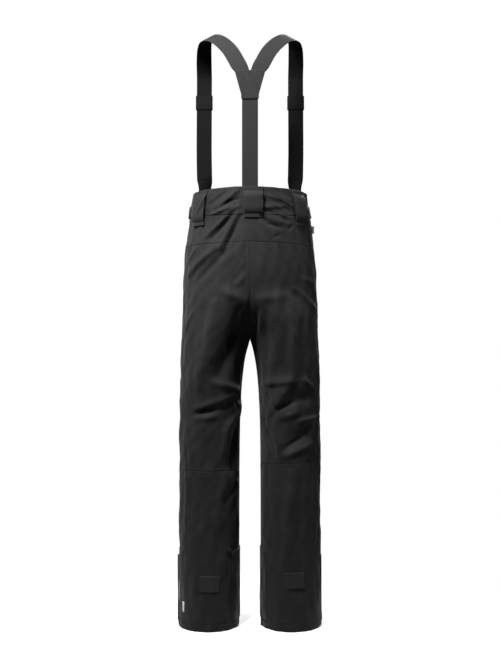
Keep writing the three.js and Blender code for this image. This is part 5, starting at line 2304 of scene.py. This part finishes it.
    def ring(self, side: Side) -> None:
        """The wire ring and the webbing tab that holds it on both faces of the waistband.

        Args:
            side: the side.
        """
        at, across, out = self.ring_frame(side)
        up = np.array([0.0, 0, 1])
        inner = self.width + 2.4
        middle = at + up * (self.opening + self.wire) / 2
        shape = rounded_outline(inner + self.wire, self.opening + self.wire, 7.0, 72)
        path = middle + shape[:, :1] * across + shape[:, 1:] * up
        solid = ring_solid(path, out, self.wire / 2)
        word, finish = side.word, self.room.finish
        self.add(f"{word}_ring", solid, "pants", f"{word}_strap_ring", "metal", finish.metal)
        turn = self.wire * 0.71 + 0.35 + 0.9
        skin, s, u = self.room.pattern.skin, np.array(float(side.value)), np.array(self.ring_u)
        edge, foot = skin(s, u, np.array(0.0)), skin(s, u, np.array(self.tab_foot))
        lean = float((foot - edge) @ out) + 0.3
        sag, drop = 1.15, float(at[2])
        clear = 2.5 + sag + 0.35 + 0.9
        arc = np.linspace(0.1, 0.9, 9) * np.pi
        line = [
            (self.tab_foot - drop, clear + lean), (-15 - drop, clear + lean * 0.5), (-7, clear), (-2.2, turn + 0.35),
            *[(turn * math.sin(a), turn * math.cos(a)) for a in arc],
            (-2.2, -turn - 0.35), (-7, -clear - 1.2), (-15 - drop, -clear - 1.2 + lean * 0.5),
            (self.tab_foot - drop, lean - clear - 1.2),
        ]
        curve = catmull_rom(np.array(line), 90)
        places = at + curve[:, :1] * up + curve[:, 1:] * out
        way = unit(np.gradient(places, axis=0))
        sides = np.broadcast_to(across, places.shape)
        solid = webbing_solid(places, sides, unit(np.cross(way, sides)), self.tab_width, self.tab_cloth)
        self.add(f"{word}_ring_loop", solid, "pants", f"{word}_ring_tab", "webbing", finish.webbing)
        for z in (-24.0, -20.0, -7.0):
            spot = at + up * (z - drop) + out * (clear + lean * min(1.0, z / self.tab_foot) + 1.0)
            self.stitches.add_line("pants", spot - across * 13, spot + across * 13, out)

    def adjuster(self, side: Side) -> None:
        """The moulded adjuster: a rounded sleeve round both layers, with grip bars on its face.

        Args:
            side: the side.
        """
        at, across, out, way = (v[0] for v in self.front(side, 1, np.array([self.slide])))
        at = at - out * self.layer_gap / 2
        inner = (self.width + 1.0, self.layer_gap + self.cloth + 1.0)
        outer = (inner[0] + 3.6, inner[1] + 3.6)
        levels = [
            (outer, -15.5, 1.0), (outer, 15.5, 1.0), (outer, 17.2, 0.985), (outer, 18.0, 0.955), (inner, 18.0, 1.02),
            (inner, 17.4, 1.0), (inner, -17.4, 1.0), (inner, -18.0, 1.02), (outer, -18.0, 0.955), (outer, -17.2, 0.985),
        ]
        rings = []
        for size, rise, grow in levels:
            shape = rounded_outline(size[0], size[1], 9.0, 56) * grow
            rings.append(at + shape[:, :1] * across + shape[:, 1:] * out + rise * way)
        count, corners = len(rings), 56
        faces = grid_quads(count + 1, corners, 0, True) % (count * corners)
        sleeve = Solid(np.concatenate(rings), [faces], np.zeros((count * corners, 2)), [0] * len(faces))
        bars = []
        for rise in self.grips:
            spot = at + way * rise + out * (outer[1] / 2 - 0.25)
            bars.append(plate(spot, (across, way, out), rounded_outline(outer[0] - 7, 1.8, 3.0, 20), 0.75, 0.25))
        solid = joined([sleeve, *bars])
        body = f"{side.word}_strap_adjuster"
        self.add(f"{side.word}_slide", solid, body, body, "plastic", self.room.finish.plastic)


@dataclass
class Studio:
    """A pale floor disc, soft lamps, an even world and the camera behind the wearer."""

    distance: float = 2.87
    height: float = -0.344
    lens: float = 63.0
    floor: float = -1.0525
    ambient: float = 0.085
    lamps: tuple[tuple[str, tuple[float, float, float], float, float], ...] = (
        ("key", (-0.48, -0.86, 1.06), 0.45, 76.0), ("edge", (-1.7, 0.1, 0.45), 0.5, 11.0),
        ("far_edge", (1.6, -0.45, 0.35), 0.5, 9.0), ("front", (0.6, 2.3, 1.1), 1.2, 130.0),
    )

    def build(self) -> None:
        """Makes the camera, the floor, the lamps and the world."""
        data = bpy.data.cameras.new("camera")
        data.lens, data.sensor_width, data.sensor_fit = self.lens, 36.0, "AUTO"
        camera = bpy.data.objects.new("camera", data)
        camera.location = (0.0, -self.distance, self.height)
        camera.rotation_euler = (math.radians(90), 0, 0)
        bpy.context.scene.collection.objects.link(camera)
        bpy.context.scene.camera = camera
        self.backdrop()
        for lamp in self.lamps:
            self.lamp(*lamp)
        world = bpy.data.worlds.new("studio")
        world.use_nodes = True
        nodes, links = world.node_tree.nodes, world.node_tree.links
        seen, soft, choice = nodes["Background"], nodes.new("ShaderNodeBackground"), nodes.new("ShaderNodeMixShader")
        seen.inputs[0].default_value = (1, 1, 1, 1)
        soft.inputs[0].default_value = (1, 1, 1, 1)
        soft.inputs[1].default_value = self.ambient
        links.new(nodes.new("ShaderNodeLightPath").outputs["Is Camera Ray"], choice.inputs[0])
        links.new(soft.outputs[0], choice.inputs[1])
        links.new(seen.outputs[0], choice.inputs[2])
        links.new(choice.outputs[0], nodes["World Output"].inputs[0])
        bpy.context.scene.world = world
        bpy.context.scene.view_settings.view_transform = "Standard"

    def lamp(self, name: str, place: tuple[float, float, float], size: float, power: float) -> None:
        """A square soft lamp aimed at the middle of the garment.

        Args:
            name: its name.
            place: where it is, in metres.
            size: length of its side.
            power: in watts.
        """
        light = bpy.data.lights.new(name, "AREA")
        light.energy, light.size = power, size
        lamp = bpy.data.objects.new(name, light)
        lamp.location = place
        aim = np.array([0, 0, -0.35]) - np.array(place)
        flat = math.hypot(aim[0], aim[1])
        lamp.rotation_euler = (math.atan2(flat, -aim[2]), 0, math.atan2(-aim[0], aim[1]))
        lamp.visible_camera = False
        bpy.context.scene.collection.objects.link(lamp)

    def backdrop(self) -> None:
        """A pale disc under the garment that fades out with the distance from its middle."""
        t = np.linspace(0, 2 * np.pi, 97)[:-1]
        r = np.array([0.2, 0.4, 0.6, 0.85])[:, None] / MM
        rim = stacked(r * np.cos(t), r * np.sin(t), self.floor / MM)
        middle = np.array([[0, 0, self.floor / MM]])
        points = np.concatenate([middle, rim.reshape(-1, 3)])
        k = np.arange(96)
        fan = np.stack([0 * k, 1 + (k + 1) % 96, 1 + k], -1)
        solid = Solid(points, [fan, grid_quads(4, 96, 1, True)], points[:, :2], [0] * (96 * 4))
        shop = Shop("pale_floor")
        shop.tint(shop.noise(0.8), (0.90, 0.90, 0.90), (0.94, 0.94, 0.94))
        place = shop.node("ShaderNodeTexCoord").outputs["Object"]
        reach = Sig(shop, shop.node("ShaderNodeVectorMath", {"operation": "LENGTH"}, {0: place}).outputs[1])
        out = (reach * reach - self.floor**2).clamped(0.03, 0.6, 0.0, 1.0)
        shop.link((1 - out) * (1 - out), "Alpha")
        shop.constants(Roughness=0.9, Specular_IOR_Level=0.2)
        made = make_object("floor", solid, [shop.material])
        made.visible_diffuse = False


def main() -> None:
    """Builds the scene in order."""
    logging.basicConfig(level=logging.INFO, format="%(name)s %(message)s")
    folds = folds_from(BACK_FOLDS, False) + folds_from(FRONT_FOLDS, True)
    room = Workroom(Pattern(folds=folds), Finishes())
    stitches = Stitches(room)
    Studio().build()
    Shell(room, stitches).build()
    Cuffs(room, stitches).build()
    BeltLoops(room, stitches).build()
    zips = [Zip("fly_zip", Side.RIGHT, 1.0, -86, -232, -88, Body.PANTS, "fly_zip_slider")]
    for side in Side:
        word = side.word
        pocket, ankle = f"{word}_pocket_zip", f"{word}_ankle_zip"
        zips.append(Zip(pocket, side, 0.27, -92, -252, -94, Body.PANTS, f"{pocket}_slider"))
        zips.append(Zip(ankle, side, 0.1, -868, -1047, -1021, Body.LOWER_LEG, f"{ankle}_slider"))
    for one in zips:
        one.build(room, stitches)
    WaistTrims(room).build()
    Braces(room, stitches).build()
    stitches.finish()


if __name__ == "__main__":
    main()
